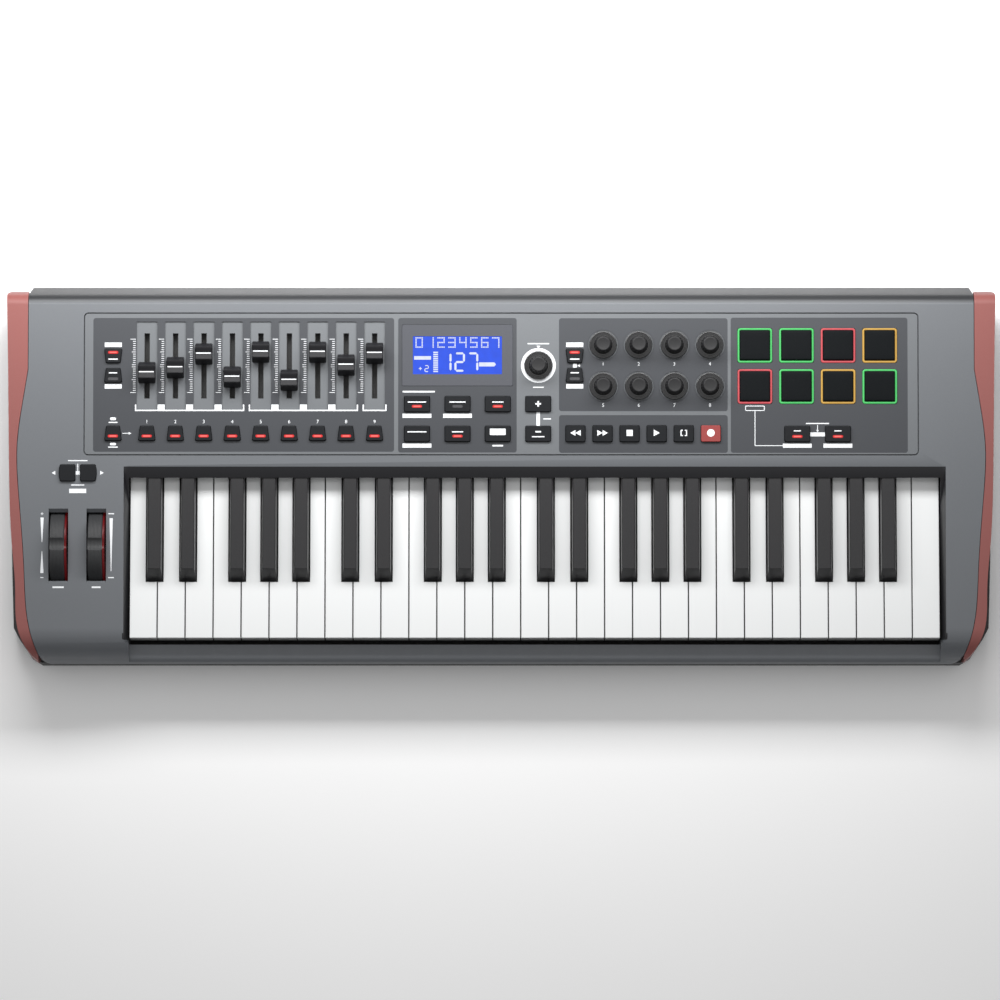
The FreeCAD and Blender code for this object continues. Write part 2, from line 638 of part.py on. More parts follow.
def key_groups():
    """Every key in a list under its note's name, and the X of every hinge from left to right."""
    groups = {}
    hinges = []
    for number in range(WHITE_KEYS):
        name = WHITE_NAMES[number % 7]
        groups.setdefault("keys_" + name, []).append(white_key(number))
        hinges.append(hinge_centre(number))
        if name in SHARP_AFTER and number < WHITE_KEYS - 1:
            sharp = SHARP_AFTER[name]
            groups.setdefault("keys_" + sharp, []).append(black_key(number + 1, sharp))
            hinges.append(sharp_centre(number + 1, sharp))
    return groups, sorted(hinges)


# ---- Inside the keybed ----------------------------------------------------------------------------
def lug_places(hinges):
    """A lug midway between neighbouring keys, and one outside each end key."""
    places = [(a + b) / 2 for a, b in zip(hinges, hinges[1:])]
    pitch = hinges[1] - hinges[0]
    return [hinges[0] - pitch / 2] + places + [hinges[-1] + pitch / 2]


def keybed_chassis(hinges):
    """A plate under the keys with a row of lugs for the hinge rod and posts for the contact board."""
    top = TRAY_Z + CHASSIS_T
    base = box(KEYS_LEFT, KEYS_RIGHT, KEYS_FRONT_Y + CHASSIS_FRONT_GAP, HINGE_Y + CHASSIS_REAR, TRAY_Z, top)
    parts = [base]
    for x in lug_places(hinges):
        parts.append(block(x, HINGE_Y, HINGE_LUG_T, LUG_L, top - 1, HINGE_Z + LUG_TOP))
    for x in contact_posts():
        parts.append(disc(x, CONTACT_Y, CONTACT_POST_R, top - 1, top + CONTACT_BOARD_LIFT))
    return joined(parts).cut(rod_x(-HALF_W, HALF_W, HINGE_Y, HINGE_Z, ROD_R + ROD_PLAY))


def contact_posts():
    span = KEYS_RIGHT - KEYS_LEFT
    return [KEYS_LEFT + span * share for share in CONTACT_POST_AT]


def key_pivot_rod(hinges):
    lugs = lug_places(hinges)
    return rod_x(lugs[0] - HINGE_LUG_T, lugs[-1] + HINGE_LUG_T, HINGE_Y, HINGE_Z, ROD_R)


def key_contact_board():
    z = TRAY_Z + CHASSIS_T + CONTACT_BOARD_LIFT
    span = KEYS_RIGHT - KEYS_LEFT
    return block(KEYS_LEFT + span / 2, CONTACT_Y, span - CONTACT_BOARD_SHORT, CONTACT_BOARD_D, z, z + BOARD_T)


def key_springs(hinges):
    """A bent leaf under every key: a flat foot on the chassis, then a blade up to the key's stem."""
    z0 = TRAY_Z + CHASSIS_T
    z1 = WHITE_TOP_Z - STEM_H - SPRING_GAP
    foot = HINGE_Y - SPRING_START
    tip = foot - SPRING_L
    outline = [
        (foot, z0), (foot - SPRING_FOOT, z0), (tip, z1 - SPRING_T), (tip - SPRING_TIP, z1 - SPRING_T),
        (tip - SPRING_TIP, z1), (tip, z1), (foot - SPRING_FOOT, z0 + SPRING_T * SPRING_BEND), (foot, z0 + SPRING_T),
    ]
    return [prism_x(outline, x - SPRING_W / 2, x + SPRING_W / 2) for x in hinges]


# ---- Buttons, pads, faders, knobs -----------------------------------------------------------------
def button_body(b, grow, w0, w1, corner):
    """A button's plan, grown by the same amount all round, drawn from w0 to w1."""
    f = b["front"] / 2 + grow
    r = b["rear"] / 2 + grow
    d = b["depth"] / 2 + grow
    x, v = b["x"], b["v"]
    body = prism_z([(x - f, v - d), (x + f, v - d), (x + r, v + d), (x - r, v + d)], w0, w1)
    upright = [e for e in body.Edges if abs(e.tangentAt(e.FirstParameter).z) > 0.9]
    return body.makeFillet(corner, upright)


def button(b):
    """One button: a cap with softened edges over a flange that holds it under the panel."""
    under = -PANEL_T - STOP_GAP
    cap = button_body(b, 0, under - FLANGE_T, BUTTON_PROUD, BUTTON_CORNER)
    cap = cap.makeFillet(BUTTON_EDGE, high_edges(cap, BUTTON_PROUD))
    flange = button_body(b, FLANGE, under - FLANGE_T, under, BUTTON_CORNER)
    return on_deck(joined([cap, flange]))


def button_hole(b):
    return button_body(b, BUTTON_GAP, -THROUGH, THROUGH, BUTTON_CORNER)


def switch_top():
    """The top of a switch: under a button's flange by its travel and a little more."""
    return -PANEL_T - STOP_GAP - FLANGE_T - BUTTON_TRAVEL - SWITCH_GAP


def octave_body(x, side, grow, w0, w1):
    """An octave button's plan: straight on the side next to its twin, bulging on the other."""
    half = OCTAVE_W / 2 + grow
    d = OCTAVE_D / 2 + grow
    inner = x - side * half
    outer = x + side * (half - OCTAVE_BULGE)
    mid = V(x + side * half, OCTAVE_V, w0)
    a = V(outer, OCTAVE_V - d, w0)
    b = V(outer, OCTAVE_V + d, w0)
    c = V(inner, OCTAVE_V + d, w0)
    e = V(inner, OCTAVE_V - d, w0)
    edges = [Part.Arc(a, mid, b).toShape(), Part.makeLine(b, c), Part.makeLine(c, e), Part.makeLine(e, a)]
    body = Part.Face(Part.Wire(edges)).extrude(V(0, 0, w1 - w0))
    upright = [edge for edge in body.Edges if abs(edge.tangentAt(edge.FirstParameter).z) > 0.9]
    return body.makeFillet(BUTTON_CORNER, upright)


def octave_button(x, side):
    under = -WALL - STOP_GAP
    cap = octave_body(x, side, 0, under - FLANGE_T, BUTTON_PROUD)
    cap = cap.makeFillet(BUTTON_EDGE, high_edges(cap, BUTTON_PROUD))
    return on_deck(joined([cap, octave_body(x, side, FLANGE, under - FLANGE_T, under)]))


def drum_pad(x, v):
    """A soft square pad with a flange that stays under its light frame."""
    frame_low = -PANEL_T - STOP_GAP - FLANGE_T
    low = frame_low - STOP_GAP - FLANGE_T
    cap = plate(x, v, PAD_SIZE, PAD_SIZE, PAD_CORNER, low, PAD_PROUD)
    cap = cap.makeFillet(PAD_EDGE, high_edges(cap, PAD_PROUD))
    flange = plate(x, v, PAD_FRAME, PAD_FRAME, PAD_CORNER, low, low + FLANGE_T)
    return on_deck(joined([cap, flange]))


def pad_light_frame(x, v):
    """The square light guide round a pad, with a flange under the panel."""
    size = PAD_FRAME + 2 * PAD_FRAME_FLANGE
    under = -PANEL_T
    outer = plate(x, v, PAD_FRAME, PAD_FRAME, PAD_FRAME_CORNER, under - FLANGE_T, PAD_FRAME_PROUD)
    outer = outer.makeFillet(PAD_FRAME_EDGE, high_edges(outer, PAD_FRAME_PROUD))
    flange = plate(x, v, size, size, PAD_FRAME_CORNER, under - FLANGE_T, under)
    hole = plate(x, v, PAD_SIZE + 2 * PAD_GAP, PAD_SIZE + 2 * PAD_GAP, PAD_CORNER, -THROUGH, THROUGH)
    return on_deck(joined([outer, flange]).cut(hole))


def fader_cap(x, v):
    """A fader's cap: sloping front and rear, a dished top, and a stem down into the fader."""
    half = CAP_W / 2
    low = CAP_LIFT
    high = CAP_LIFT + CAP_H
    body = frustum(
        (x - half, x + half, v - CAP_L / 2, v + CAP_L / 2),
        low,
        (x - half + CAP_DRAFT, x + half - CAP_DRAFT, v - CAP_TOP_L / 2, v + CAP_TOP_L / 2),
        high,
    )
    dish_r = (CAP_TOP_L ** 2 / 4 + CAP_DISH ** 2) / (2 * CAP_DISH)
    body = body.cut(rod_x(x - CAP_W, x + CAP_W, v, high - CAP_DISH + dish_r, dish_r))
    stem_low = BOARD_W + STEM_LIFT
    stem = block(x, v, STEM_W, STEM_L, stem_low, low + 1)
    return on_deck(joined([body, stem]))


def slot_length():
    """The open length that a fader's stem needs."""
    return FADER_TRAVEL + STEM_L + 2 * FADER_SLOT_END


def fader_body(x):
    """A slide potentiometer: a long box with a slot in its top for the stem."""
    v = layout(FADER_V)
    length = slot_length() + 2 * FADER_BODY_END
    body = block(x, v, FADER_BODY_W, length, BOARD_W, -PANEL_T - FADER_BODY_GAP)
    slot = block(x, v, STEM_W + 2 * STEM_PLAY, slot_length(), BOARD_W + 1.0, 0)
    return on_deck(body.cut(slot))


def knob(x, v, scale):
    """A knob: a thin rim, a tapering grip with a slightly hollow top, and its shaft."""
    rim = disc(x, v, KNOB_RIM_R * scale, KNOB_LIFT, KNOB_LIFT + KNOB_RIM_H)
    rim = rim.makeFillet(KNOB_EDGE, high_edges(rim, KNOB_LIFT + KNOB_RIM_H))
    top = KNOB_LIFT + KNOB_H
    grip = Part.makeCone(KNOB_BODY_R * scale, KNOB_TOP_R * scale, KNOB_H - 1, V(x, v, KNOB_LIFT + 1))
    grip = grip.makeFillet(KNOB_EDGE, high_edges(grip, top))
    shaft = disc(x, v, SHAFT_R, BOARD_W + SHAFT_LIFT, KNOB_LIFT + 1)
    return on_deck(joined([rim, grip, shaft]))


def encoder_body(x, v):
    """A rotary encoder: a square can with a round bush, bored for the knob's shaft."""
    top = -PANEL_T - ENCODER_GAP
    body = block(x, v, ENCODER_W, ENCODER_W, BOARD_W, top - ENCODER_BUSH_H)
    bush = disc(x, v, ENCODER_BUSH_R, BOARD_W + 1, top)
    bore = disc(x, v, SHAFT_R + ROD_PLAY, BOARD_W + ENCODER_FLOOR, 0)
    return on_deck(joined([body, bush]).cut(bore))


# ---- Panel, display, boards -----------------------------------------------------------------------
def all_buttons():
    return [b for group in BUTTONS.values() for b in group]


def control_panel():
    """The panel insert with every opening in it, and posts underneath for the control board."""
    cuts = []
    for x, _ in FADERS:
        bay = plate(x, layout(sum(FADER_BAY_V) / 2), FADER_BAY_W, FADER_BAY_V[1] - FADER_BAY_V[0], FADER_BAY_R,
                    -FADER_BAY_DEPTH, ABOVE)
        cuts.append(bay)
        cuts.append(block(x, layout(FADER_V), FADER_SLOT_W, slot_length(), -THROUGH, ABOVE))
    for x, v in KNOBS:
        cuts.append(disc(x, v, KNOB_DISH_R, -KNOB_DISH_DEPTH, ABOVE))
        cuts.append(disc(x, v, SHAFT_HOLE_R, -THROUGH, ABOVE))
    cuts.append(disc(*DATA_KNOB_AT, SHAFT_HOLE_R, -THROUGH, ABOVE))
    cuts += [button_hole(b) for b in all_buttons()]
    for x, v in PADS:
        cuts.append(plate(x, v, PAD_FRAME + 2 * PAD_GAP, PAD_FRAME + 2 * PAD_GAP, PAD_FRAME_CORNER, -THROUGH, ABOVE))
    window_v = layout(WINDOW_V)
    cuts.append(plate(WINDOW_X, window_v, WINDOW_W + 2 * MODULE_GAP, WINDOW_D + 2 * MODULE_GAP, WINDOW_R,
                      -WINDOW_T, ABOVE))
    cuts.append(block(WINDOW_X, window_v, SCREEN_W + 2 * SCREEN_RIM, SCREEN_D + 2 * SCREEN_RIM, -THROUGH, ABOVE))
    body = plate(0, PANEL_V, PANEL_W, PANEL_D, PANEL_R, -PANEL_T, 0)
    posts = [disc(x, v, POST_R, BOARD_W, -PANEL_T / 2) for x, v in POSTS]
    return on_deck(joined([body] + posts).cut(Part.makeCompound(cuts)))


def display_window():
    return on_deck(plate(WINDOW_X, layout(WINDOW_V), WINDOW_W, WINDOW_D, WINDOW_R, -WINDOW_T, WINDOW_PROUD))


def display_module():
    """The display: a frame on the control board with its screen standing up through the panel."""
    v = layout(WINDOW_V)
    w = SCREEN_W + 2 * MODULE_EDGE
    d = SCREEN_D + 2 * MODULE_EDGE
    frame = block(WINDOW_X, v, w, d, BOARD_W, -PANEL_T - MODULE_GAP)
    screen = block(WINDOW_X, v, SCREEN_W, SCREEN_D, BOARD_W + 1, -WINDOW_T - MODULE_GAP)
    return on_deck(joined([frame, screen]))


def control_board():
    """The board under the panel with a switch under each button, and the octave buttons' own board."""
    low = BOARD_W - BOARD_T
    main = block(0, PANEL_V, PANEL_W - 2 * BOARD_MARGIN, PANEL_D - 2 * BOARD_MARGIN, low, BOARD_W)
    parts = [main]
    for b in all_buttons():
        parts.append(block(b["x"], b["v"], SWITCH_W, SWITCH_W, BOARD_W, switch_top()))
    mid = sum(OCTAVE_X) / 2
    octave_w = octave_posts()[1] - octave_posts()[0] + 2 * POST_R
    top = -WALL - OCTAVE_POST
    parts.append(block(mid, OCTAVE_V, octave_w, OCTAVE_D, top - BOARD_T, top))
    octave_switch = -WALL - STOP_GAP - FLANGE_T - BUTTON_TRAVEL - SWITCH_GAP
    for x in OCTAVE_X:
        parts.append(block(x, OCTAVE_V, SWITCH_W, SWITCH_W, top, octave_switch))
    return [on_deck(p) for p in parts]


def octave_posts():
    reach = OCTAVE_W / 2 + OCTAVE_POST_SIDE
    return [OCTAVE_X[0] - reach, OCTAVE_X[1] + reach]


def main_board():
    rear = REAR_Y - WALL - MAIN_BOARD_GAP
    body = box(MAIN_BOARD_X - MAIN_BOARD_W / 2, MAIN_BOARD_X + MAIN_BOARD_W / 2, rear - MAIN_BOARD_D, rear,
               MAIN_BOARD_Z, MAIN_BOARD_Z + BOARD_T)
    holes = [disc(x, y, SCREW_R, 0, FAR) for x, y in main_board_posts()]
    return body.cut(Part.makeCompound(holes))


def main_board_posts():
    """The corners where the main board stands on the bottom case."""
    rear = REAR_Y - WALL - MAIN_BOARD_GAP
    dx = MAIN_BOARD_W / 2 - PILLAR_INSET
    return [(MAIN_BOARD_X + sx * dx, y) for sx in (-1, 1) for y in (rear - MAIN_BOARD_D + PILLAR_INSET,
                                                                    rear - PILLAR_INSET)]


# ---- Rear sockets ---------------------------------------------------------------------------------
SOCKET_Z = MAIN_BOARD_Z + BOARD_T
SOCKET_FACE_Y = REAR_Y - SOCKET_SET_IN


def usb_socket():
    """A square socket: a hollow shell with a tongue in the middle of it."""
    x = SOCKET_X["usb"]
    z = SOCKET_Z + USB_H / 2
    shell = block(x, SOCKET_FACE_Y - USB_D / 2, USB_W, USB_D, SOCKET_Z, SOCKET_Z + USB_H)
    hole = box(x - USB_HOLE_W / 2, x + USB_HOLE_W / 2, SOCKET_FACE_Y - USB_HOLE_D, SOCKET_FACE_Y + 1,
               z - USB_HOLE_H / 2, z + USB_HOLE_H / 2)
    back = SOCKET_FACE_Y - USB_HOLE_D
    tongue = box(x - USB_TONGUE_W / 2, x + USB_TONGUE_W / 2, back - 1, back + USB_TONGUE_D,
                 z - USB_TONGUE_H / 2, z + USB_TONGUE_H / 2)
    return shell.cut(hole).fuse(tongue).removeSplitter()


def midi_socket(x):
    """A five-pole round socket: a ring for the plug's collar round a core with five holes."""
    z = SOCKET_Z + MIDI_H / 2
    shell = block(x, SOCKET_FACE_Y - MIDI_D / 2, MIDI_W, MIDI_D, SOCKET_Z, SOCKET_Z + MIDI_H)
    ring = rod_y(x, SOCKET_FACE_Y - MIDI_RING_D, SOCKET_FACE_Y + 1, z, MIDI_RING_R)
    core = rod_y(x, SOCKET_FACE_Y - MIDI_RING_D - 1, SOCKET_FACE_Y - 1, z, MIDI_CORE_R)
    holes = []
    for step in range(5):
        angle = math.radians(180 + 45 * step)
        holes.append(rod_y(x + MIDI_PIN_CIRCLE_R * math.cos(angle), SOCKET_FACE_Y - MIDI_RING_D,
                           SOCKET_FACE_Y, z + MIDI_PIN_CIRCLE_R * math.sin(angle), MIDI_PIN_R))
    return shell.cut(ring).fuse(core).cut(Part.makeCompound(holes)).removeSplitter()


def pedal_jack(x):
    """A 6.35 mm jack: a box on the board with a round nose through the rear wall."""
    z = SOCKET_Z + JACK_H / 2
    wall_in = REAR_Y - WALL - SOCKET_GAP
    body = block(x, wall_in - JACK_D / 2, JACK_W, JACK_D, SOCKET_Z, SOCKET_Z + JACK_H)
    nose = rod_y(x, wall_in - 1, SOCKET_FACE_Y, z, JACK_NOSE_R)
    bore = rod_y(x, SOCKET_FACE_Y - JACK_BORE_L, SOCKET_FACE_Y + 1, z, JACK_BORE_R)
    return joined([body, nose]).cut(bore)


def socket_holes():
    """The openings that the rear wall has for the sockets."""
    g = SOCKET_GAP
    y0, y1 = REAR_Y - WALL - 1, REAR_Y + 1
    x = SOCKET_X["usb"]
    holes = [box(x - USB_W / 2 - g, x + USB_W / 2 + g, y0, y1, SOCKET_Z - g, SOCKET_Z + USB_H + g)]
    for x in SOCKET_X["midi"]:
        holes.append(box(x - MIDI_W / 2 - g, x + MIDI_W / 2 + g, y0, y1, SOCKET_Z - g, SOCKET_Z + MIDI_H + g))
    for x in SOCKET_X["pedal"]:
        holes.append(rod_y(x, y0, y1, SOCKET_Z + JACK_H / 2, JACK_NOSE_R + g))
    return holes


# ---- Wheels ---------------------------------------------------------------------------------------
def wheel(x):
    """A thumb wheel: a thick rim with a notch for the thumb, a web and a bored hub."""
    half = WHEEL_W / 2
    body = rod_x(x - half, x + half, WHEEL_Y, WHEEL_Z, WHEEL_R)
    rim_edges = [e for e in body.Edges if abs(e.tangentAt(e.FirstParameter).x) < 0.5]
    body = body.makeFillet(WHEEL_EDGE, rim_edges)
    notch_z = WHEEL_Z + WHEEL_R - WHEEL_NOTCH_DEPTH + WHEEL_NOTCH_R
    body = body.cut(rod_x(x - WHEEL_W, x + WHEEL_W, WHEEL_Y, notch_z, WHEEL_NOTCH_R))
    for side in (-1, 1):
        x0, x1 = sorted((x + side * WHEEL_WEB_T / 2, x + side * (half + 1)))
        ring = rod_x(x0, x1, WHEEL_Y, WHEEL_Z, WHEEL_R - WHEEL_RIM_T)
        body = body.cut(ring.cut(rod_x(x0, x1, WHEEL_Y, WHEEL_Z, WHEEL_HUB_R)))
    return body.cut(rod_x(x - WHEEL_W, x + WHEEL_W, WHEEL_Y, WHEEL_Z, AXLE_R + ROD_PLAY))


def slot_limits(x):
    """The open slot over a wheel, as x and v limits on the deck."""
    half = WHEEL_W / 2 + SLOT_SIDE_GAP
    chord = math.sqrt(WHEEL_R ** 2 - (WHEEL_R - WHEEL_PROUD) ** 2) + SLOT_END_GAP
    v = WHEEL_Y / COS
    return x - half, x + half, v - chord, v + chord


def wheel_cradle():
    """A base with three uprights that carry both wheels' axle."""
    side = WHEEL_W / 2 + CRADLE_T + CRADLE_GAP
    x0, x1 = WHEEL_X[0] - side, WHEEL_X[1] + side
    mid = sum(WHEEL_X) / 2
    parts = [box(x0, x1, WHEEL_Y - CRADLE_HALF_D, WHEEL_Y + CRADLE_HALF_D, TRAY_Z, TRAY_Z + CRADLE_T)]
    for x in (x0, mid - CRADLE_T / 2, x1 - CRADLE_T):
        parts.append(box(x, x + CRADLE_T, WHEEL_Y - UPRIGHT_HALF_D, WHEEL_Y + UPRIGHT_HALF_D, TRAY_Z + 1,
                         WHEEL_Z + UPRIGHT_TOP))
    parts.append(rod_x(x0 + 1, x1 - 1, WHEEL_Y, WHEEL_Z, AXLE_R))
    return joined(parts)


# ---- Case halves ----------------------------------------------------------------------------------
def screw_places():
    side = HALF_W - SCREW_INSET_X
    places = [(s * side, y) for s in (-1, 1) for y in (FRONT_Y + SCREW_FRONT, HINGE_Y)]
    return places + [(x, REAR_Y - SCREW_REAR) for x in SCREW_REAR_X]


def top_case():
    """The upper shell: deck, front rounding, key well, panel pocket, wheel slots and rear wall."""
    shell = case_bar(0, PART_Z, HALF_W).common(both_sides(top_outline(0)))
    inner = case_bar(WALL, PART_Z - 10, HALF_W).common(both_sides(top_outline(WALL)))
    wall_y = LIP_Y + LIP_DEPTH + WALL
    keep = [box(WELL_X0 - WELL_TAPER - WALL, WELL_X1 + WELL_TAPER + WALL, FRONT_Y, wall_y, 0, FAR)]
    ledge = PANEL_GROOVE + LEDGE_W
    keep.append(on_deck(block(0, PANEL_V, PANEL_W + 2 * ledge, PANEL_D + 2 * ledge, -PANEL_T - LEDGE_T, THROUGH)))
    for x in WHEEL_X:
        x0, x1, v0, v1 = slot_limits(x)
        v0 -= SLOT_BEVEL + COLLAR_T
        v1 += SLOT_BEVEL + COLLAR_T
        keep.append(on_deck(box(x0 - COLLAR_T, x1 + COLLAR_T, v0, v1, -COLLAR_DEPTH, THROUGH)))
    keep += [disc(x, y, SCREW_BOSS_R, SCREW_BOSS_TOP, FAR) for x, y in screw_places()]
    keep += [on_deck(disc(x, OCTAVE_V, POST_R, -WALL - OCTAVE_POST, THROUGH)) for x in octave_posts()]
    body = shell.cut(inner.cut(Part.makeCompound(keep)))
    body = joined([body] + [disc(x, y, SCREW_BOSS_R, SCREW_BOSS_TOP, PART_Z + 1) for x, y in screw_places()])
    return body.cut(Part.makeCompound(well_cuts())).cut(Part.makeCompound(deck_cuts()))


def well_cuts():
    """What is cut away for the keys: the well, the passage under the lip and the space over the rail."""
    y1 = LIP_Y + LIP_DEPTH
    lip_rise = DECK_Z0 + y1 * TAN
    rear = HINGE_Y + HINGE_BOSS_L
    hole = prism_x([(RAIL_Y, 0), (LIP_Y, 0), (LIP_Y, LIP_Z), (y1, lip_rise), (y1, FAR), (RAIL_Y, FAR)],
                   WELL_X0, WELL_X1)
    under = box(WELL_X0, WELL_X1, LIP_Y - 1, rear, 0, LIP_Z)
    half = (WELL_X1 - WELL_X0) / 2
    mid = WELL_X0 + half
    lean = half + WELL_TAPER
    outline = [(mid - half, -WELL_TAPER_DEPTH), (mid + half, -WELL_TAPER_DEPTH), (mid + lean, 0),
               (mid + lean, FAR), (mid - lean, FAR), (mid - lean, 0)]
    wire = Part.makePolygon([V(x, FRONT_Y * 2, w) for x, w in outline + outline[:1]])
    taper = on_deck(Part.Face(wire).extrude(V(0, FAR, 0)))
    ramp = prism_x([(RAIL_Y, 0), (LIP_Y, LIP_Z), (y1, lip_rise), (y1, FAR), (RAIL_Y, FAR)],
                   mid - lean - 1, mid + lean + 1)
    front_y = RAIL_Y - RAIL_W
    over_rail = box(WELL_X0, WELL_X1, FRONT_Y - 1, RAIL_Y + 1, RAIL_TOP_Z, FAR)
    edge_r = front_y - FRONT_Y
    corner = box(WELL_X0, WELL_X1, FRONT_Y - 1, front_y, RAIL_TOP_Z - edge_r, RAIL_TOP_Z + 1)
    corner = corner.cut(rod_x(WELL_X0 - 1, WELL_X1 + 1, front_y, RAIL_TOP_Z - edge_r, edge_r))
    rail_hollow = box(WELL_X0, WELL_X1, FRONT_Y + FRONT_TUCK + WALL, RAIL_Y + 1, 0, RAIL_TOP_Z - WALL)
    return [hole, under, taper.common(ramp), over_rail, corner, rail_hollow]


def deck_cuts():
    """The panel's pocket and opening, the wheel slots, the octave buttons' holes and the rear openings."""
    g = PANEL_GROOVE
    cuts = [on_deck(plate(0, PANEL_V, PANEL_W + 2 * g, PANEL_D + 2 * g, PANEL_R + g, -PANEL_T, ABOVE))]
    cuts.append(on_deck(block(0, PANEL_V, PANEL_W - 2 * LEDGE_W, PANEL_D - 2 * LEDGE_W, -2 * THROUGH, ABOVE)))
    for x in WHEEL_X:
        x0, x1, v0, v1 = slot_limits(x)
        outline = [(v0, -2 * THROUGH), (v0, -SLOT_BEVEL), (v0 - SLOT_BEVEL, 0), (v0 - SLOT_BEVEL, ABOVE),
                   (v1 + SLOT_BEVEL, ABOVE), (v1 + SLOT_BEVEL, 0), (v1, -SLOT_BEVEL), (v1, -2 * THROUGH)]
        cuts.append(on_deck(prism_x(outline, x0, x1)))
        cuts.append(rod_x(x0, x1, WHEEL_Y, WHEEL_Z, WHEEL_R + WHEEL_ROOM))
    for x, side in zip(OCTAVE_X, (-1, 1)):
        cuts.append(on_deck(octave_body(x, side, BUTTON_GAP, -ABOVE, ABOVE)))
    for x, y in screw_places():
        cuts.append(disc(x, y, SCREW_R, 0, SCREW_SEAT_Z + SCREW_LENGTH + 2))
    return cuts + socket_holes()


def bottom_case():
    """The lower tray: floor, walls, screw pillars and the posts under the main board."""
    outer_run = tray_outline(0)
    inner_run = tray_outline(WALL)
    outer = both_sides(prism_z(outer_run, FOOT_H, PART_Z))
    inner = both_sides(prism_z(inner_run, TRAY_Z, PART_Z + 1))
    parts = [outer.cut(inner)]
    cuts = []
    for x, y in screw_places():
        parts.append(disc(x, y, SCREW_BOSS_R + 1, FOOT_H, SCREW_BOSS_TOP))
        cuts.append(disc(x, y, SCREW_R + SCREW_PLAY, 0, FAR))
        cuts.append(disc(x, y, SCREW_HEAD_R + SCREW_PLAY, 0, SCREW_SEAT_Z))
    for x, y in main_board_posts():
        parts.append(disc(x, y, PILLAR_R, TRAY_Z - 1, MAIN_BOARD_Z))
    return joined(parts).cut(Part.makeCompound(cuts))


def case_screw(x, y):
    head = disc(x, y, SCREW_HEAD_R, SCREW_SEAT_Z - SCREW_HEAD_H, SCREW_SEAT_Z)
    shank = disc(x, y, SCREW_R, SCREW_SEAT_Z - 1, SCREW_SEAT_Z + SCREW_LENGTH)
    drive_z = SCREW_SEAT_Z - SCREW_HEAD_H + SCREW_DRIVE_DEPTH
    drive = block(x, y, SCREW_DRIVE_W, SCREW_DRIVE_L, 0, drive_z)
    cross = block(x, y, SCREW_DRIVE_L, SCREW_DRIVE_W, 0, drive_z)
    return joined([head, shank]).cut(drive).cut(cross)


def rubber_foot(x, y):
    foot = disc(x, y, FOOT_R, 0, FOOT_H)
    return foot.makeFillet(FOOT_EDGE, high_edges(foot, 0))


# ---- The whole keyboard ---------------------------------------------------------------------------
def build():
    """Every node's solids, by the node's name."""
    nodes, hinges = key_groups()
    for i, (x, v) in enumerate(FADERS):
        nodes["fader_cap_%d" % (i + 1)] = [fader_cap(x, v)]
    for i, (x, v) in enumerate(KNOBS):
        nodes["knob_%d" % (i + 1)] = [knob(x, v, 1.0)]
    nodes["data_knob"] = [knob(*DATA_KNOB_AT, DATA_KNOB_SCALE)]
    nodes["pitch_wheel"] = [wheel(WHEEL_X[0])]
    nodes["mod_wheel"] = [wheel(WHEEL_X[1])]
    nodes["drum_pads"] = [drum_pad(x, v) for x, v in PADS]
    for name, group in BUTTONS.items():
        nodes[name] = [button(b) for b in group]
    nodes["octave_buttons"] = [octave_button(x, side) for x, side in zip(OCTAVE_X, (-1, 1))]
    nodes["top_case"] = [top_case()]
    nodes["bottom_case"] = [bottom_case()]
    nodes["left_end_cheek"] = [cheek(-1)]
    nodes["right_end_cheek"] = [cheek(1)]
    nodes["control_panel"] = [control_panel()]
    nodes["display_window"] = [display_window()]
    nodes["display_module"] = [display_module()]
    nodes["keybed_chassis"] = [keybed_chassis(hinges)]
    nodes["key_pivot_rod"] = [key_pivot_rod(hinges)]
    nodes["key_springs"] = key_springs(hinges)
    nodes["key_contact_board"] = [key_contact_board()]
    nodes["control_board"] = control_board()
    nodes["main_board"] = [main_board()]
    nodes["usb_socket"] = [usb_socket()]
    nodes["midi_sockets"] = [midi_socket(x) for x in SOCKET_X["midi"]]
    nodes["pedal_jacks"] = [pedal_jack(x) for x in SOCKET_X["pedal"]]
    foot_x, foot_y = HALF_W - FOOT_INSET_X, CASE_D / 2 - FOOT_INSET_Y
    nodes["rubber_feet"] = [rubber_foot(sx * foot_x, sy * foot_y) for sx in (-1, 1) for sy in (-1, 1)]
    nodes["case_screws"] = [case_screw(x, y) for x, y in screw_places()]
    nodes["fader_bodies"] = [fader_body(x) for x, _ in FADERS]
    nodes["encoder_bodies"] = [encoder_body(x, v) for x, v in KNOBS + [DATA_KNOB_AT]]
    nodes["pad_light_frames"] = [pad_light_frame(x, v) for x, v in PADS]
    nodes["wheel_cradle"] = [wheel_cradle()]
    return nodes


def main():
    os.makedirs("parts", exist_ok=True)
    for name, solids in build().items():
        shape = solids[0] if len(solids) == 1 else Part.makeCompound(solids)
        shape.exportStep("parts/%s.step" % name)
        size = shape.BoundBox
        print("%-18s %2d solids %10.0f mm3  x %.1f..%.1f  y %.1f..%.1f  z %.1f..%.1f" % (
            name, len(shape.Solids), shape.Volume, size.XMin, size.XMax, size.YMin, size.YMax, size.ZMin, size.ZMax))


main()
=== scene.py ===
# %% [markdown]
# # A 49-key controller keyboard
# The lesson starts from a finished mechanical model: every key, fader, knob and button is already in its place
# and already hinged. What follows gives each piece the surface that the real one has. Everything is in metres.

# %% Load the mechanical model
import json
import math

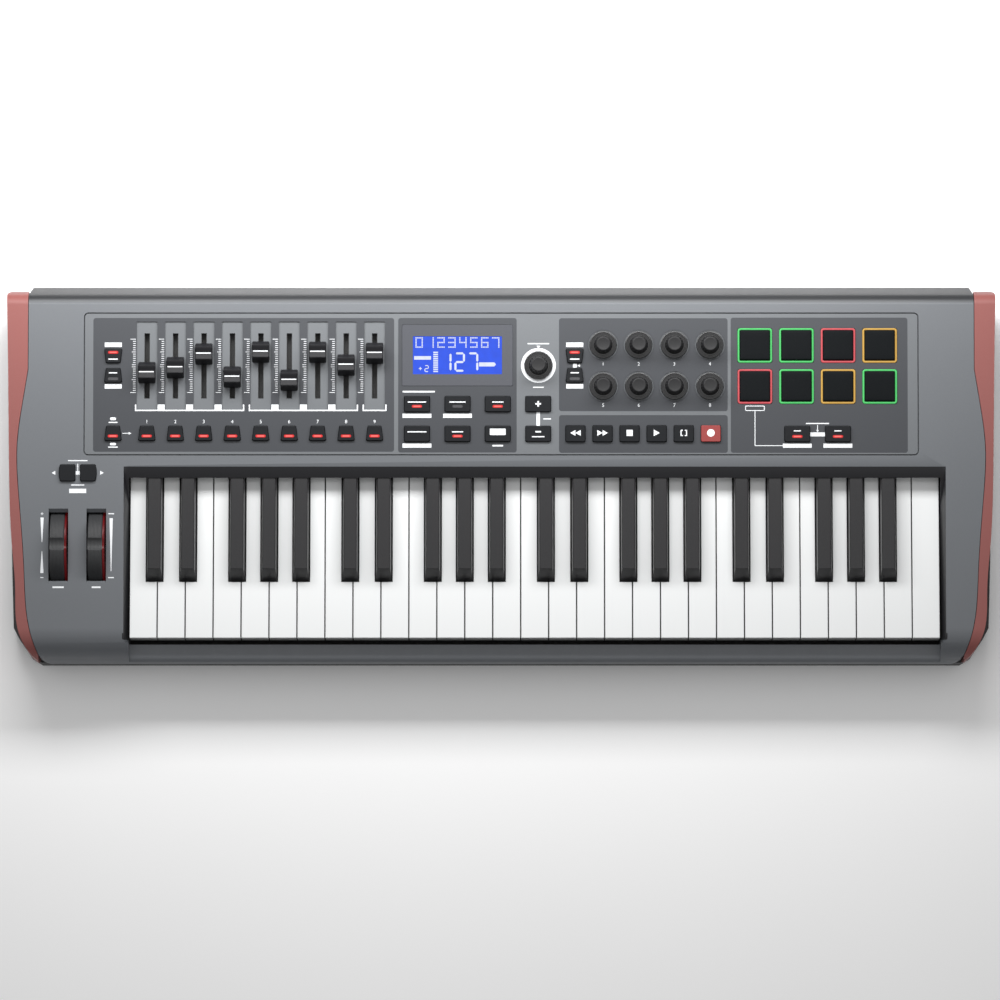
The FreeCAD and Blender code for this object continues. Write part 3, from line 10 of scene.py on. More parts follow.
import bpy
import numpy as np
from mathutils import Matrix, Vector


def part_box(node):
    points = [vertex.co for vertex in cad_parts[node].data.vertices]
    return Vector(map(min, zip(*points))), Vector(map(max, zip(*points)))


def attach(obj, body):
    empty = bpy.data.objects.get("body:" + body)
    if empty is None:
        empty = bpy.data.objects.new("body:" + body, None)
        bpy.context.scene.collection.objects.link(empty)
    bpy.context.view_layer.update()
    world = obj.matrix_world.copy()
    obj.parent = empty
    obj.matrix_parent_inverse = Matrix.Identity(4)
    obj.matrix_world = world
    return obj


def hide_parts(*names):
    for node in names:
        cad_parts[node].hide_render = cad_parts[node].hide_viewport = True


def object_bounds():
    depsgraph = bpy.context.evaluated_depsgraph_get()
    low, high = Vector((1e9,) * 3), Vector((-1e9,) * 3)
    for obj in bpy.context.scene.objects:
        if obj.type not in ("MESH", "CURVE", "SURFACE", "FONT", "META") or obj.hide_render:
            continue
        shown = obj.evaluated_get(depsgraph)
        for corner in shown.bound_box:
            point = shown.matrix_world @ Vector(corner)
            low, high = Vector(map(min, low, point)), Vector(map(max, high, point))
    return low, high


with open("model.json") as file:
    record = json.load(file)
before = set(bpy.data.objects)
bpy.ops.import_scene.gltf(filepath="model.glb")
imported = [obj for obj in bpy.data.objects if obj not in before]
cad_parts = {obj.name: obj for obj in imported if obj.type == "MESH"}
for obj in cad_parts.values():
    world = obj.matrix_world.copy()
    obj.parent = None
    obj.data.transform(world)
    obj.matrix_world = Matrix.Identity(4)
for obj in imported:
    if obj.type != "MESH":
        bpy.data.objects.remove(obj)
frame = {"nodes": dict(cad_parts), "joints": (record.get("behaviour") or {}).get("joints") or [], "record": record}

cad_low, cad_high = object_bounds()
nodes = frame["nodes"]
record = frame["record"]
joints = {joint["name"]: joint for joint in frame["joints"]}
body_of = {node: body for body, group in record["behaviour"]["bodies"].items() for node in group}
slot_of = {part["node"]: part["material_slot"] for part in record["subparts"]}
bpy.context.scene.view_settings.view_transform = "Standard"
print("the model is", [round(v, 4) for v in cad_high - cad_low], "m and has", len(nodes), "nodes")

# %% [markdown]
# The deck of the case slopes up towards the back, and most of the controls stand square to it. So there are two
# ways to name a place: the frame's own X, Y and Z, and deck coordinates. In those, x is the same, v runs up the
# slope from the middle of the control panel, and w stands off the surface. They could be read off a drawing. Here
# they come from the model: the faders slide along the slope, so a fader's axis is the direction of v.

# %% Deck coordinates
MM = 0.001
PANEL_THICK = 3.0                 # of the control panel, in mm
WELD = 1e-6                       # vertices closer than this are the same vertex
COS, SIN = joints["fader_1_slide"]["axis"][1:]
SLOPE = math.atan2(SIN, COS)
panel_low, panel_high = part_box("control_panel")
PANEL_REAR_Y = panel_high.y - PANEL_THICK * MM * SIN
PANEL_Y = (PANEL_REAR_Y + panel_low.y) / 2
PANEL_Z = panel_high.z - (PANEL_REAR_Y - PANEL_Y) * SIN / COS
PANEL_HALF = (PANEL_REAR_Y - PANEL_Y) / COS / MM


def on_deck(points):
    """Turns deck coordinates in mm into the frame: y = Y0 + v cos - w sin, z = Z0 + v sin + w cos."""
    x, v, w = np.moveaxis(np.asarray(points, float), -1, 0) * MM
    return np.stack([x, PANEL_Y + v * COS - w * SIN, PANEL_Z + v * SIN + w * COS], -1)


def to_deck(points):
    """The same turn the other way: v = y cos + z sin and w = z cos - y sin, from the panel's middle, in mm."""
    x, y, z = np.moveaxis(np.asarray(points, float) - (0, PANEL_Y, PANEL_Z), -1, 0) / MM
    return np.stack([x, y * COS + z * SIN, z * COS - y * SIN], -1)


print("slope %.2f degrees, panel %.1f mm deep" % (math.degrees(SLOPE), 2 * PANEL_HALF))

# %% [markdown]
# A node of the mechanical model is a heap of loose triangles, which always shade flat. A copy with its doubled
# vertices merged can be shaded smooth, and it also shows which triangles belong together, so the copy of a node
# that holds ten buttons can say where each button is. Both jobs need the same first step: merging.

# %% Read a node, and find the solids in it
def merged(node):
    """A node's vertices and triangles after vertices with the same rounded coordinates become one."""
    mesh = nodes[node].data
    place = np.empty(len(mesh.vertices) * 3, np.float32)
    corner = np.empty(len(mesh.loops), np.int32)
    mesh.vertices.foreach_get("co", place)
    mesh.loops.foreach_get("vertex_index", corner)
    place = place.reshape(-1, 3).astype(float)
    _, first, same = np.unique(np.round(place / WELD).astype(np.int64), axis=0, return_index=True,
                               return_inverse=True)
    faces = same.reshape(-1)[corner].reshape(-1, 3)
    flat = (faces[:, 0] == faces[:, 1]) | (faces[:, 1] == faces[:, 2]) | (faces[:, 2] == faces[:, 0])
    return place[first], faces[~flat]


def solids(node):
    """Each solid of a node as (lowest, highest) deck coordinates, rear rows first and then from the left.

    Every vertex starts with its own number. Each triangle gives its lowest number to its three corners, over
    and over, until nothing changes, and vertices with the same number then belong to the same solid."""
    place, faces = merged(node)
    number = np.arange(len(place))
    while True:
        spread = number.copy()
        np.minimum.at(spread, faces.ravel(), np.repeat(number[faces].min(1), 3))
        spread = spread[spread]
        if (spread == number).all():
            break
        number = spread
    place = to_deck(place)
    boxes = [(place[number == n].min(0), place[number == n].max(0)) for n in np.unique(number)]
    return sorted(boxes, key=lambda b: (-round((b[0][1] + b[1][1]) / 4), b[0][0]))


def middle(box):
    """The centre of a box in x and v."""
    return (box[0][:2] + box[1][:2]) / 2


buttons = {name: solids(name) for name in nodes if name.endswith("_buttons")}
for name in sorted(buttons):
    print(name, [tuple(middle(b).round(1).tolist()) for b in buttons[name]])

# %% [markdown]
# New pieces are numbers first and meshes second. Nearly every control here is one of three shapes: an outline
# that is drawn in or lifted step by step (a button, a pad, a light frame), a profile turned round an axis (a
# knob, a wheel), or a flat print. Blender could model each with extrude, spin and bevel. Working them out as
# arrays keeps every size in sight and lets one function make many pieces.

# %% Turn arrays into a piece
def add_piece(name, verts, faces, material, body, smooth_angle=None):
    """One object from vertices in metres and faces, riding on a body and taking its finish from a slot."""
    verts, faces = outward(verts, faces)
    mesh = bpy.data.meshes.new(name)
    mesh.from_pydata(verts.tolist(), [], [list(map(int, face)) for face in faces])
    mesh.validate()
    mesh.materials.append(material)
    if smooth_angle is not None:
        mesh.polygons.foreach_set("use_smooth", np.ones(len(mesh.polygons), bool))
        mesh.set_sharp_from_angle(angle=math.radians(smooth_angle))
    piece = bpy.data.objects.new(name, mesh)
    bpy.context.scene.collection.objects.link(piece)
    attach(piece, body)
    return piece


def deck_piece(name, shape, look, body, smooth_angle=None):
    """A piece from (vertices in deck coordinates, faces), in the finish with the name given."""
    return add_piece(name, on_deck(shape[0]), shape[1], finish[look], body, smooth_angle)


def together(parts):
    """Joins (vertices, faces) pairs into one pair, each part's faces counting on from the part before."""
    verts, faces, start = [], [], 0
    for part_verts, part_faces in parts:
        verts.append(np.asarray(part_verts, float))
        faces += [np.asarray(face) + start for face in part_faces]
        start += len(part_verts)
    return np.concatenate(verts), faces


def outward(verts, faces):
    """Turns every face round if the closed skin's volume, the sum of a . (b x c) over its triangles, is negative."""
    verts, total = np.asarray(verts, float), 0.0
    for size in {len(face) for face in faces}:
        ring = np.array([face for face in faces if len(face) == size])
        for k in range(1, size - 1):
            total += (verts[ring[:, 0]] * np.cross(verts[ring[:, k]], verts[ring[:, k + 1]])).sum()
    return verts, faces if total > 0 else [face[::-1] for face in faces]


def rounded_outline(half_x, half_v, radius, steps=6):
    """A rounded rectangle, anticlockwise: four quarter circles of the radius about the corners' centres."""
    turn = np.linspace(0, math.pi / 2, steps + 1)
    quarters = []
    for corner, (sx, sv) in enumerate(((1, 1), (-1, 1), (-1, -1), (1, -1))):
        angle = turn + corner * math.pi / 2
        quarters.append(np.stack([sx * (half_x - radius) + radius * np.cos(angle),
                                  sv * (half_v - radius) + radius * np.sin(angle)], -1))
    return np.concatenate(quarters)


def stacked(rings, close=True):
    """A skin over rings of points, each an (n, 3) array: ring k's point i joins ring k + 1's point i.

    With close, the first and last rings are filled. Rings run anticlockwise seen from the last one."""
    count, size = len(rings), len(rings[0])
    row, col = np.meshgrid(np.arange(count - 1), np.arange(size), indexing="ij")
    after = (col + 1) % size
    quads = np.stack([row * size + col, row * size + after, (row + 1) * size + after, (row + 1) * size + col], -1)
    faces = list(quads.reshape(-1, 4))
    if close:
        faces += [np.arange(size)[::-1], np.arange(size) + (count - 1) * size]
    return np.concatenate(rings), faces


def closed_tube(rings):
    """A skin over rings like stacked(), with the last ring joined to the first, as round a frame."""
    verts, faces = stacked(list(rings), close=False)
    size, count = len(rings[0]), len(rings)
    col = np.arange(size)
    last = (count - 1) * size
    faces += list(np.stack([last + col, last + (col + 1) % size, (col + 1) % size, col], -1))
    return verts, faces


def at_height(outline, w):
    """The points (x, v) of an outline at the height w over the deck."""
    return np.column_stack([outline, np.full(len(outline), w)])


def pillow(centre, half_x, half_v, radius, steps):
    """A rounded block on the deck: (inset, w) steps draw its outline in and lift it, from the bottom to the top."""
    return stacked([at_height(rounded_outline(half_x - inset, half_v - inset, max(radius - inset, 0.05)) + centre, w)
                    for inset, w in steps])


def soft_edge(low, high, radius, steps=4):
    """(inset, w) steps for a block from low to high whose top edge is a quarter circle of the radius."""
    turn = np.linspace(0, math.pi / 2, steps + 1)
    return [(0.0, low)] + list(zip(radius * (1 - np.cos(turn)), high - radius * (1 - np.sin(turn))))


def revolved(profile, count, flutes=None):
    """A profile of (radius, w) points turned round the w axis: x = r cos a, v = r sin a.

    The first and last points lie on the axis, so both ends close in a fan. flutes(a, r, w) may return a new
    radius for each point."""
    angle = np.linspace(0, 2 * math.pi, count, endpoint=False)
    r, w = np.asarray(profile, float).T
    ring_r = np.repeat(r[1:-1, None], count, 1)
    ring_w = np.repeat(w[1:-1, None], count, 1)
    if flutes is not None:
        ring_r = flutes(angle[None, :], ring_r, ring_w)
    rings = np.stack([ring_r * np.cos(angle), ring_r * np.sin(angle), ring_w], -1)
    verts, faces = stacked(list(rings), close=False)
    poles = np.array([[0, 0, w[0]], [0, 0, w[-1]]])
    first, last = len(verts), len(verts) + 1
    col = np.arange(count)
    after = (col + 1) % count
    top = (len(rings) - 1) * count
    faces += list(np.stack([after, col, np.full(count, first)], -1))
    faces += list(np.stack([top + col, top + after, np.full(count, last)], -1))
    return np.concatenate([verts, poles]), faces


print("a test pillow has", len(pillow((0, 0), 5, 5, 1, soft_edge(0, 2, 0.5))[1]), "faces")

# %% [markdown]
# Most of the model's own shapes are right already, so they stay. The ones that show are copied with their
# vertices merged. Then they can shade smooth across a rounded edge and stay flat on a flat face. A bevel modifier
# could fake that, but the edges are already rounded, and only the shading is missing. Weighted normals do it:
# large faces decide the direction of the light, and the narrow strips of a rounding blend between them.

# %% Copy a node so that it shades smoothly
SMOOTH_BELOW = 40                 # degrees between two faces that still shade as one surface


def smooth_copy(node, name, material, keep=None):
    """A copy of a node, or of its triangles that keep() picks by their centres, which stands for the node."""
    verts, faces = merged(node)
    if keep is not None:
        faces = faces[keep(verts[faces].mean(1))]
        used, faces = np.unique(faces, return_inverse=True)
        verts, faces = verts[used], faces.reshape(-1, 3)
    piece = add_piece(name, verts, faces, material, body_of[node], SMOOTH_BELOW)
    shading = piece.modifiers.new("large faces lead", "WEIGHTED_NORMAL")
    shading.keep_sharp = True
    shading.weight = 80
    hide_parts(node)
    return piece


# %% [markdown]
# ## Finishes
# A moulded case is not one grey. It has a fine spark-eroded grain, its colour drifts a little, and dust settles on
# whatever faces up. Several finishes share those effects, so each effect is a node group with its own inputs, and
# a material only says how much of it to use.

# %% Node helpers
def feed(tree, socket, value):
    """Links an input socket to another node's output, or sets it to a plain value."""
    if hasattr(value, "links"):
        tree.links.new(value, socket)
    else:
        socket.default_value = value


def node_of(tree, kind, **inputs):
    """A new node with some of its input sockets set by name."""
    node = tree.nodes.new(kind)
    for label, value in inputs.items():
        feed(tree, node.inputs[label], value)
    return node


def maths(tree, operation, a, b=0.0, c=0.0):
    """The output of a Math node: a, b and c are numbers or sockets."""
    node = tree.nodes.new("ShaderNodeMath")
    node.operation = operation
    for socket, value in zip(node.inputs, (a, b, c)):
        feed(tree, socket, value)
    return node.outputs[0]


def blended(tree, factor, a, b):
    """The colour between a and b at a factor."""
    node = tree.nodes.new("ShaderNodeMix")
    node.data_type = "RGBA"
    for socket, value in ((node.inputs[0], factor), (node.inputs[6], a), (node.inputs[7], b)):
        feed(tree, socket, value)
    return node.outputs[2]


def new_group(name, inputs, outputs):
    """An empty shader group with float inputs and their usual values, and outputs of the kinds given."""
    tree = bpy.data.node_groups.new(name, "ShaderNodeTree")
    for label, value in inputs.items():
        socket = tree.interface.new_socket(label, in_out="INPUT", socket_type="NodeSocketFloat")
        socket.default_value = value
    for label, kind in outputs.items():
        tree.interface.new_socket(label, in_out="OUTPUT", socket_type="NodeSocket" + kind)
    return tree, tree.nodes.new("NodeGroupInput"), tree.nodes.new("NodeGroupOutput")


def use_group(tree, group, **inputs):
    """A group placed in a material, with its inputs set. Underscores in names stand for spaces."""
    node = tree.nodes.new("ShaderNodeGroup")
    node.node_tree = group
    for label, value in inputs.items():
        node.inputs[label.replace("_", " ")].default_value = value
    return node


# %% The grain of a mould
def grain_group():
    """Height: fine noise on top of coarser noise. Cloud: a slow drift from 0 to 1, for colour and gloss."""
    tree, given, out = new_group("mould_grain", {"Grain size mm": 0.5, "Cloud size mm": 60.0},
                                 {"Height": "Float", "Cloud": "Float"})
    place = node_of(tree, "ShaderNodeTexCoord").outputs["Object"]
    fine_scale = maths(tree, "DIVIDE", 1000.0, given.outputs["Grain size mm"])
    cloud_scale = maths(tree, "DIVIDE", 1000.0, given.outputs["Cloud size mm"])
    fine = node_of(tree, "ShaderNodeTexNoise", Vector=place, Scale=fine_scale, Detail=2.0, Roughness=0.6)
    pits = node_of(tree, "ShaderNodeTexVoronoi", Vector=place, Scale=fine_scale)
    cloud = node_of(tree, "ShaderNodeTexNoise", Vector=place, Scale=cloud_scale, Detail=3.0, Roughness=0.5)
    height = maths(tree, "MULTIPLY_ADD", pits.outputs["Distance"], 0.4, fine.outputs[0])
    tree.links.new(height, out.inputs["Height"])
    tree.links.new(cloud.outputs[0], out.inputs["Cloud"])
    return tree


# %% Dust on whatever faces up
def dust_group():
    """Dust: how much a surface faces up, to a high power, times specks and slow patches of noise."""
    tree, given, out = new_group("settled_dust", {"Amount": 0.1, "Speck size mm": 0.6}, {"Dust": "Float"})
    place = node_of(tree, "ShaderNodeTexCoord").outputs["Object"]
    normal = node_of(tree, "ShaderNodeNewGeometry").outputs["Normal"]
    up = node_of(tree, "ShaderNodeSeparateXYZ", Vector=normal).outputs[2]
    speck_scale = maths(tree, "DIVIDE", 1000.0, given.outputs["Speck size mm"])
    specks = node_of(tree, "ShaderNodeTexNoise", Vector=place, Scale=speck_scale, Detail=1.0).outputs[0]
    patches = node_of(tree, "ShaderNodeTexNoise", Vector=place, Scale=9.0, Detail=2.0).outputs[0]
    facing = maths(tree, "POWER", maths(tree, "MAXIMUM", up, 0.0), 8.0)
    spotted = maths(tree, "MULTIPLY", maths(tree, "POWER", specks, 3.0), patches)
    dust = maths(tree, "MULTIPLY", maths(tree, "MULTIPLY", facing, spotted), given.outputs["Amount"])
    tree.links.new(dust, out.inputs["Dust"])
    return tree


GRAIN = grain_group()
DUST = dust_group()
DUST_COLOUR = (0.62, 0.61, 0.58, 1)
print("groups:", GRAIN.name, DUST.name)

# %% [markdown]
# Every plastic here is the same recipe with other numbers: a colour that drifts between two shades, a gloss that
# drifts with it, a grain for the bump, and some dust. One function holds the recipe. The principled shader itself
# stays in each material.

# %% A recipe for moulded plastic
def new_material(name):
    """A new material, its node tree and its principled shader."""
    material = bpy.data.materials.new(name)
    material.use_nodes = True
    return material, material.node_tree, material.node_tree.nodes["Principled BSDF"]


def plastic(name, colour, drift=0.12, rough=(0.42, 0.52), grain=0.5, bump=0.12, dust=0.25, coat=0.0,
            specular=0.5, cloud=60.0):
    """Moulded plastic: colour is linear, drift is how far it darkens, rough is the range of roughness."""
    material, tree, shader = new_material(name)
    mould = use_group(tree, GRAIN, Grain_size_mm=grain, Cloud_size_mm=cloud)
    settled = use_group(tree, DUST, Amount=dust)
    light = (*colour, 1)
    dark = (*[c * (1 - drift) for c in colour], 1)
    shade = blended(tree, mould.outputs["Cloud"], light, dark)
    tree.links.new(blended(tree, settled.outputs["Dust"], shade, DUST_COLOUR), shader.inputs["Base Color"])
    gloss = maths(tree, "MULTIPLY_ADD", mould.outputs["Cloud"], rough[1] - rough[0], rough[0])
    gloss = maths(tree, "ADD", gloss, maths(tree, "MULTIPLY", settled.outputs["Dust"], 0.5))
    tree.links.new(gloss, shader.inputs["Roughness"])
    bumps = node_of(tree, "ShaderNodeBump", Strength=bump, Distance=0.0002, Height=mould.outputs["Height"])
    tree.links.new(bumps.outputs[0], shader.inputs["Normal"])
    shader.inputs["Specular IOR Level"].default_value = specular
    shader.inputs["Coat Weight"].default_value = coat
    shader.inputs["Coat Roughness"].default_value = 0.12
    return material


def glowing(name, colour, strength, base=(0.02, 0.02, 0.02)):
    """A translucent window that glows as if lit from behind: its glow drifts a little at random, from the colour to
    seven tenths of it.
    """
    material, tree, shader = new_material(name)
    mould = use_group(tree, GRAIN, Grain_size_mm=1.2, Cloud_size_mm=6.0)
    lit = blended(tree, mould.outputs["Cloud"], (*colour, 1), (*[c * 0.7 for c in colour], 1))
    shader.inputs["Base Color"].default_value = (*base, 1)
    tree.links.new(lit, shader.inputs["Emission Color"])
    shader.inputs["Emission Strength"].default_value = strength
    shader.inputs["Roughness"].default_value = 0.3
    shader.inputs["Specular IOR Level"].default_value = 0.15
    return material


def metal(name, colour, rough=(0.22, 0.34)):
    """Plated or drawn metal: fine brush lines are the mould grain at a small size with more gloss."""
    material, tree, shader = new_material(name)
    mould = use_group(tree, GRAIN, Grain_size_mm=0.3, Cloud_size_mm=15.0)
    shader.inputs["Metallic"].default_value = 1.0
    tint = blended(tree, mould.outputs["Cloud"], (*colour, 1), (*[c * 0.8 for c in colour], 1))
    tree.links.new(tint, shader.inputs["Base Color"])
    gloss = maths(tree, "MULTIPLY_ADD", mould.outputs["Cloud"], rough[1] - rough[0], rough[0])
    tree.links.new(gloss, shader.inputs["Roughness"])
    bumps = node_of(tree, "ShaderNodeBump", Strength=0.05, Distance=0.0001, Height=mould.outputs["Height"])
    tree.links.new(bumps.outputs[0], shader.inputs["Normal"])
    return material


# %% [markdown]
# The control panel is one grey insert with darker fields printed on it. The fields have rounded corners, and the
# recessed fader bays inside one of them stay light. The fields could be thin plates, but they are ink and have
# no thickness, so a mask in the material is truer. The mask is the usual distance to a rounded rectangle: how far
# a point lies beyond the straight parts on both axes, less the corner's radius.

# %% A mask for a printed field, in deck coordinates
def field_group():
    """Mask: 1 inside a rounded rectangle on the deck. Depth: how far a point lies below the deck, in mm."""
    tree, given, out = new_group("printed_field", {"Middle x": 0.0, "Middle v": 0.0, "Half x": 50.0, "Half v": 50.0,
                                                   "Corner": 2.0}, {"Mask": "Float", "Depth": "Float"})
    place = node_of(tree, "ShaderNodeTexCoord").outputs["Object"]
    turned = node_of(tree, "ShaderNodeMapping", Vector=place)
    turned.vector_type = "TEXTURE"
    turned.inputs["Location"].default_value = (0, PANEL_Y, PANEL_Z)
    turned.inputs["Rotation"].default_value = (SLOPE, 0, 0)
    turned.inputs["Scale"].default_value = (MM, MM, MM)
    x, v, w = node_of(tree, "ShaderNodeSeparateXYZ", Vector=turned.outputs[0]).outputs
    beyond = []
    for value, axis in ((x, "x"), (v, "v")):
        away = maths(tree, "ABSOLUTE", maths(tree, "SUBTRACT", value, given.outputs["Middle " + axis]))
        straight = maths(tree, "SUBTRACT", given.outputs["Half " + axis], given.outputs["Corner"])
        beyond.append(maths(tree, "SUBTRACT", away, straight))
    outside = [maths(tree, "MAXIMUM", value, 0.0) for value in beyond]
    corner = maths(tree, "SQRT", maths(tree, "ADD", *[maths(tree, "MULTIPLY", v, v) for v in outside]))
    inside = maths(tree, "MINIMUM", maths(tree, "MAXIMUM", *beyond), 0.0)
    distance = maths(tree, "SUBTRACT", maths(tree, "ADD", corner, inside), given.outputs["Corner"])
    mask = node_of(tree, "ShaderNodeClamp",
                   Value=maths(tree, "SUBTRACT", 0.5, maths(tree, "MULTIPLY", distance, 8.0)))
    tree.links.new(mask.outputs[0], out.inputs["Mask"])
    tree.links.new(maths(tree, "MULTIPLY", w, -1.0), out.inputs["Depth"])
    return tree


FIELD = field_group()
# The printed fields, as (left x, right x, front v, rear v) from the middle of the panel.
FIELDS = {
    "faders": (-343.0, -90.0, -57.2, 55.6),
    "display": (-86.6, 13.0, -57.8, 55.6),
    "knobs": (48.6, 190.4, -23.0, 55.4),
    "transport": (48.6, 190.4, -58.1, -26.3),
    "pads": (193.0, 341.7, -58.1, 55.9),
}
FIELD_CORNER = 2.2
PANEL_LIGHT = (0.132, 0.140, 0.149)
PANEL_DARK = (0.048, 0.051, 0.057)
INK_DEPTH = 0.3                   # deeper than this the panel has no ink


def add_masks(tree, masks):
    """One mask that is 1 wherever any of several is: the largest of them."""
    total = masks[0]
    for mask in masks[1:]:
        total = maths(tree, "MAXIMUM", total, mask)
    return total


def panel_material():
    """The panel's plastic, with its colour mixed to the ink's wherever a field's mask says so."""
    material = plastic("panel_grey", PANEL_LIGHT, drift=0.06, rough=(0.40, 0.47), grain=0.35, bump=0.06, dust=0.1,
                       specular=0.3)
    tree = material.node_tree
    shader = tree.nodes["Principled BSDF"]
    fields = []
    for left, right, front, rear in FIELDS.values():
        fields.append(use_group(tree, FIELD, Middle_x=(left + right) / 2, Middle_v=(front + rear) / 2,
                                Half_x=(right - left) / 2, Half_v=(rear - front) / 2, Corner=FIELD_CORNER))
    ink = add_masks(tree, [field.outputs["Mask"] for field in fields])
    ink = maths(tree, "MULTIPLY", ink, maths(tree, "LESS_THAN", fields[0].outputs["Depth"], INK_DEPTH))
    plain = shader.inputs["Base Color"].links[0].from_socket
    tree.links.new(blended(tree, ink, plain, (*PANEL_DARK, 1)), shader.inputs["Base Color"])
    return material


# %% [markdown]
# The case is one moulding. The sides of its key well and the lip over the keys lie in shade, and that shade is
# painted into the colour: the same field mask, laid over the keys, tells the well's walls from the deck.

# %% The case's finishes
CASE_GREY = (0.128, 0.136, 0.147)
CASE_BLACK = (0.020, 0.020, 0.021)
WELL_V = 150.0                    # length of the dark part of the well from the front of the keys, in mm
WELL_SIDE = 6.0                   # how far its sides lie beyond the keys
# painted shade: a near black that stands for the shade on the well's walls and on the lip over the keys
WELL_PAINTED_SHADE = (0.012, 0.012, 0.014)
REAR_SHADE_STRIP = 17.0                 # depth of the strip along the rear edge that darkens as it turns down
# painted shade: a near black that stands for the shade on the rear edge as it turns down
REAR_PAINTED_SHADE = (0.026, 0.027, 0.029)
REAR_SHADE_GAIN, REAR_SHADE_START = 1.6, 0.35  # the strip's darkness over how far its normal points to the rear
key_low = np.min([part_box(node)[0] for node in nodes if node.startswith("keys_")], axis=0)
key_high = np.max([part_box(node)[1] for node in nodes if node.startswith("keys_")], axis=0)


def case_material():
    """Grey plastic, with painted shade below the deck inside the key well and where the rear edge turns down."""
    material = plastic("case_grey", CASE_GREY, drift=0.07, rough=(0.38, 0.46), grain=0.45, bump=0.16, dust=0.1,
                       specular=0.35)
    tree = material.node_tree
    shader = tree.nodes["Principled BSDF"]
    low, high = to_deck(key_low), to_deck(key_high)
    half_x, half_v = (high - low)[:2] / 2
    well = use_group(tree, FIELD, Middle_x=(low + high)[0] / 2, Middle_v=low[1] + WELL_V / 2,
                     Half_x=half_x + WELL_SIDE, Half_v=WELL_V / 2, Corner=1.0)
    # Painted shade: below the deck inside the well, the colour goes to a near black that stands for the shade there.
    below = maths(tree, "GREATER_THAN", well.outputs["Depth"], INK_DEPTH)
    dark = maths(tree, "MULTIPLY", well.outputs["Mask"], below)
    plain = shader.inputs["Base Color"].links[0].from_socket
    well_shaded = blended(tree, dark, plain, (*WELL_PAINTED_SHADE, 1))
    # Painted shade on the rear edge: the more a face in the strip points to the rear, the nearer its colour comes to
    # a near black.
    rear_v = to_deck([(0, cad_high[1] - REAR_SHADE_STRIP * MM, cad_high[2])])[0][1]
    rear = use_group(tree, FIELD, Middle_x=0.0, Middle_v=rear_v + WELL_V, Half_x=4 * WELL_V, Half_v=WELL_V,
                     Corner=1.0)
    facing = node_of(tree, "ShaderNodeSeparateXYZ", Vector=node_of(tree, "ShaderNodeTexCoord").outputs["Normal"])
    turned = maths(tree, "MULTIPLY_ADD", facing.outputs["Y"], REAR_SHADE_GAIN, REAR_SHADE_START)
    clear = node_of(tree, "ShaderNodeClamp", Value=turned)
    shade = maths(tree, "MULTIPLY", rear.outputs["Mask"], clear.outputs[0])
    tree.links.new(blended(tree, shade, well_shaded, (*REAR_PAINTED_SHADE, 1)), shader.inputs["Base Color"])
    return material


PLASTICS = {
    "case_black": dict(colour=CASE_BLACK, rough=(0.5, 0.62), grain=0.7, bump=0.25, dust=0.3),
    "cheek_red": dict(colour=(0.245, 0.080, 0.072), drift=0.05, rough=(0.42, 0.50), grain=0.3, bump=0.05, dust=0.1,
                      specular=0.3, cloud=90.0),
    "key_white": dict(colour=(0.74, 0.75, 0.75), drift=0.015, rough=(0.16, 0.22), grain=2.0, bump=0.01, dust=0.0,
                      coat=0.3),
    "key_black": dict(colour=(0.016, 0.0155, 0.017), drift=0.2, rough=(0.30, 0.36), grain=0.35, bump=0.05, dust=0.05,
                      specular=0.4),
    "cap_black": dict(colour=(0.013, 0.013, 0.015), drift=0.2, rough=(0.46, 0.54), grain=0.3, bump=0.05, dust=0.04,
                      specular=0.2),
    "knob_black": dict(colour=(0.014, 0.014, 0.015), drift=0.2, rough=(0.40, 0.50), grain=0.25, bump=0.05, dust=0.08,
                       specular=0.3),
    "knob_rim": dict(colour=(0.013, 0.013, 0.014), drift=0.1, rough=(0.14, 0.20), grain=0.8, bump=0.01, dust=0.1,
                     coat=0.3),
    "wheel_black": dict(colour=(0.030, 0.031, 0.033), drift=0.2, rough=(0.5, 0.6), grain=0.4, bump=0.1,
                        specular=0.35),
    "pad_rubber": dict(colour=(0.0040, 0.0052, 0.0062), drift=0.15, rough=(0.55, 0.66), grain=0.5, bump=0.15,
                       dust=0.02, specular=0.08),
    "button_black": dict(colour=(0.008, 0.009, 0.011), drift=0.2, rough=(0.40, 0.48), grain=0.35, bump=0.08,
                         dust=0.04, specular=0.18),
    "bezel_dark": dict(colour=(0.060, 0.063, 0.074), drift=0.05, rough=(0.16, 0.22), grain=1.0, bump=0.01, dust=0.1,
                       coat=0.2),
    "chassis_black": dict(colour=(0.03, 0.03, 0.03), grain=0.8, bump=0.2),
    "board_green": dict(colour=(0.02, 0.10, 0.04), drift=0.3, rough=(0.25, 0.35), grain=1.5, bump=0.1, cloud=8.0),
    "socket_black": dict(colour=(0.012, 0.012, 0.012), rough=(0.4, 0.5), grain=0.3, bump=0.1),
    "foot_rubber": dict(colour=(0.02, 0.02, 0.02), rough=(0.7, 0.8), grain=0.6, bump=0.3),
    "print_white": dict(colour=(0.80, 0.82, 0.84), drift=0.05, rough=(0.45, 0.55), grain=0.3, bump=0.03, dust=0.1),
    "light_off": dict(colour=(0.045, 0.045, 0.05), drift=0.1, rough=(0.2, 0.3), grain=0.8, bump=0.02),
    "record_red": dict(colour=(0.26, 0.030, 0.028), drift=0.1, rough=(0.40, 0.48), grain=0.35, bump=0.08, dust=0.1),
}
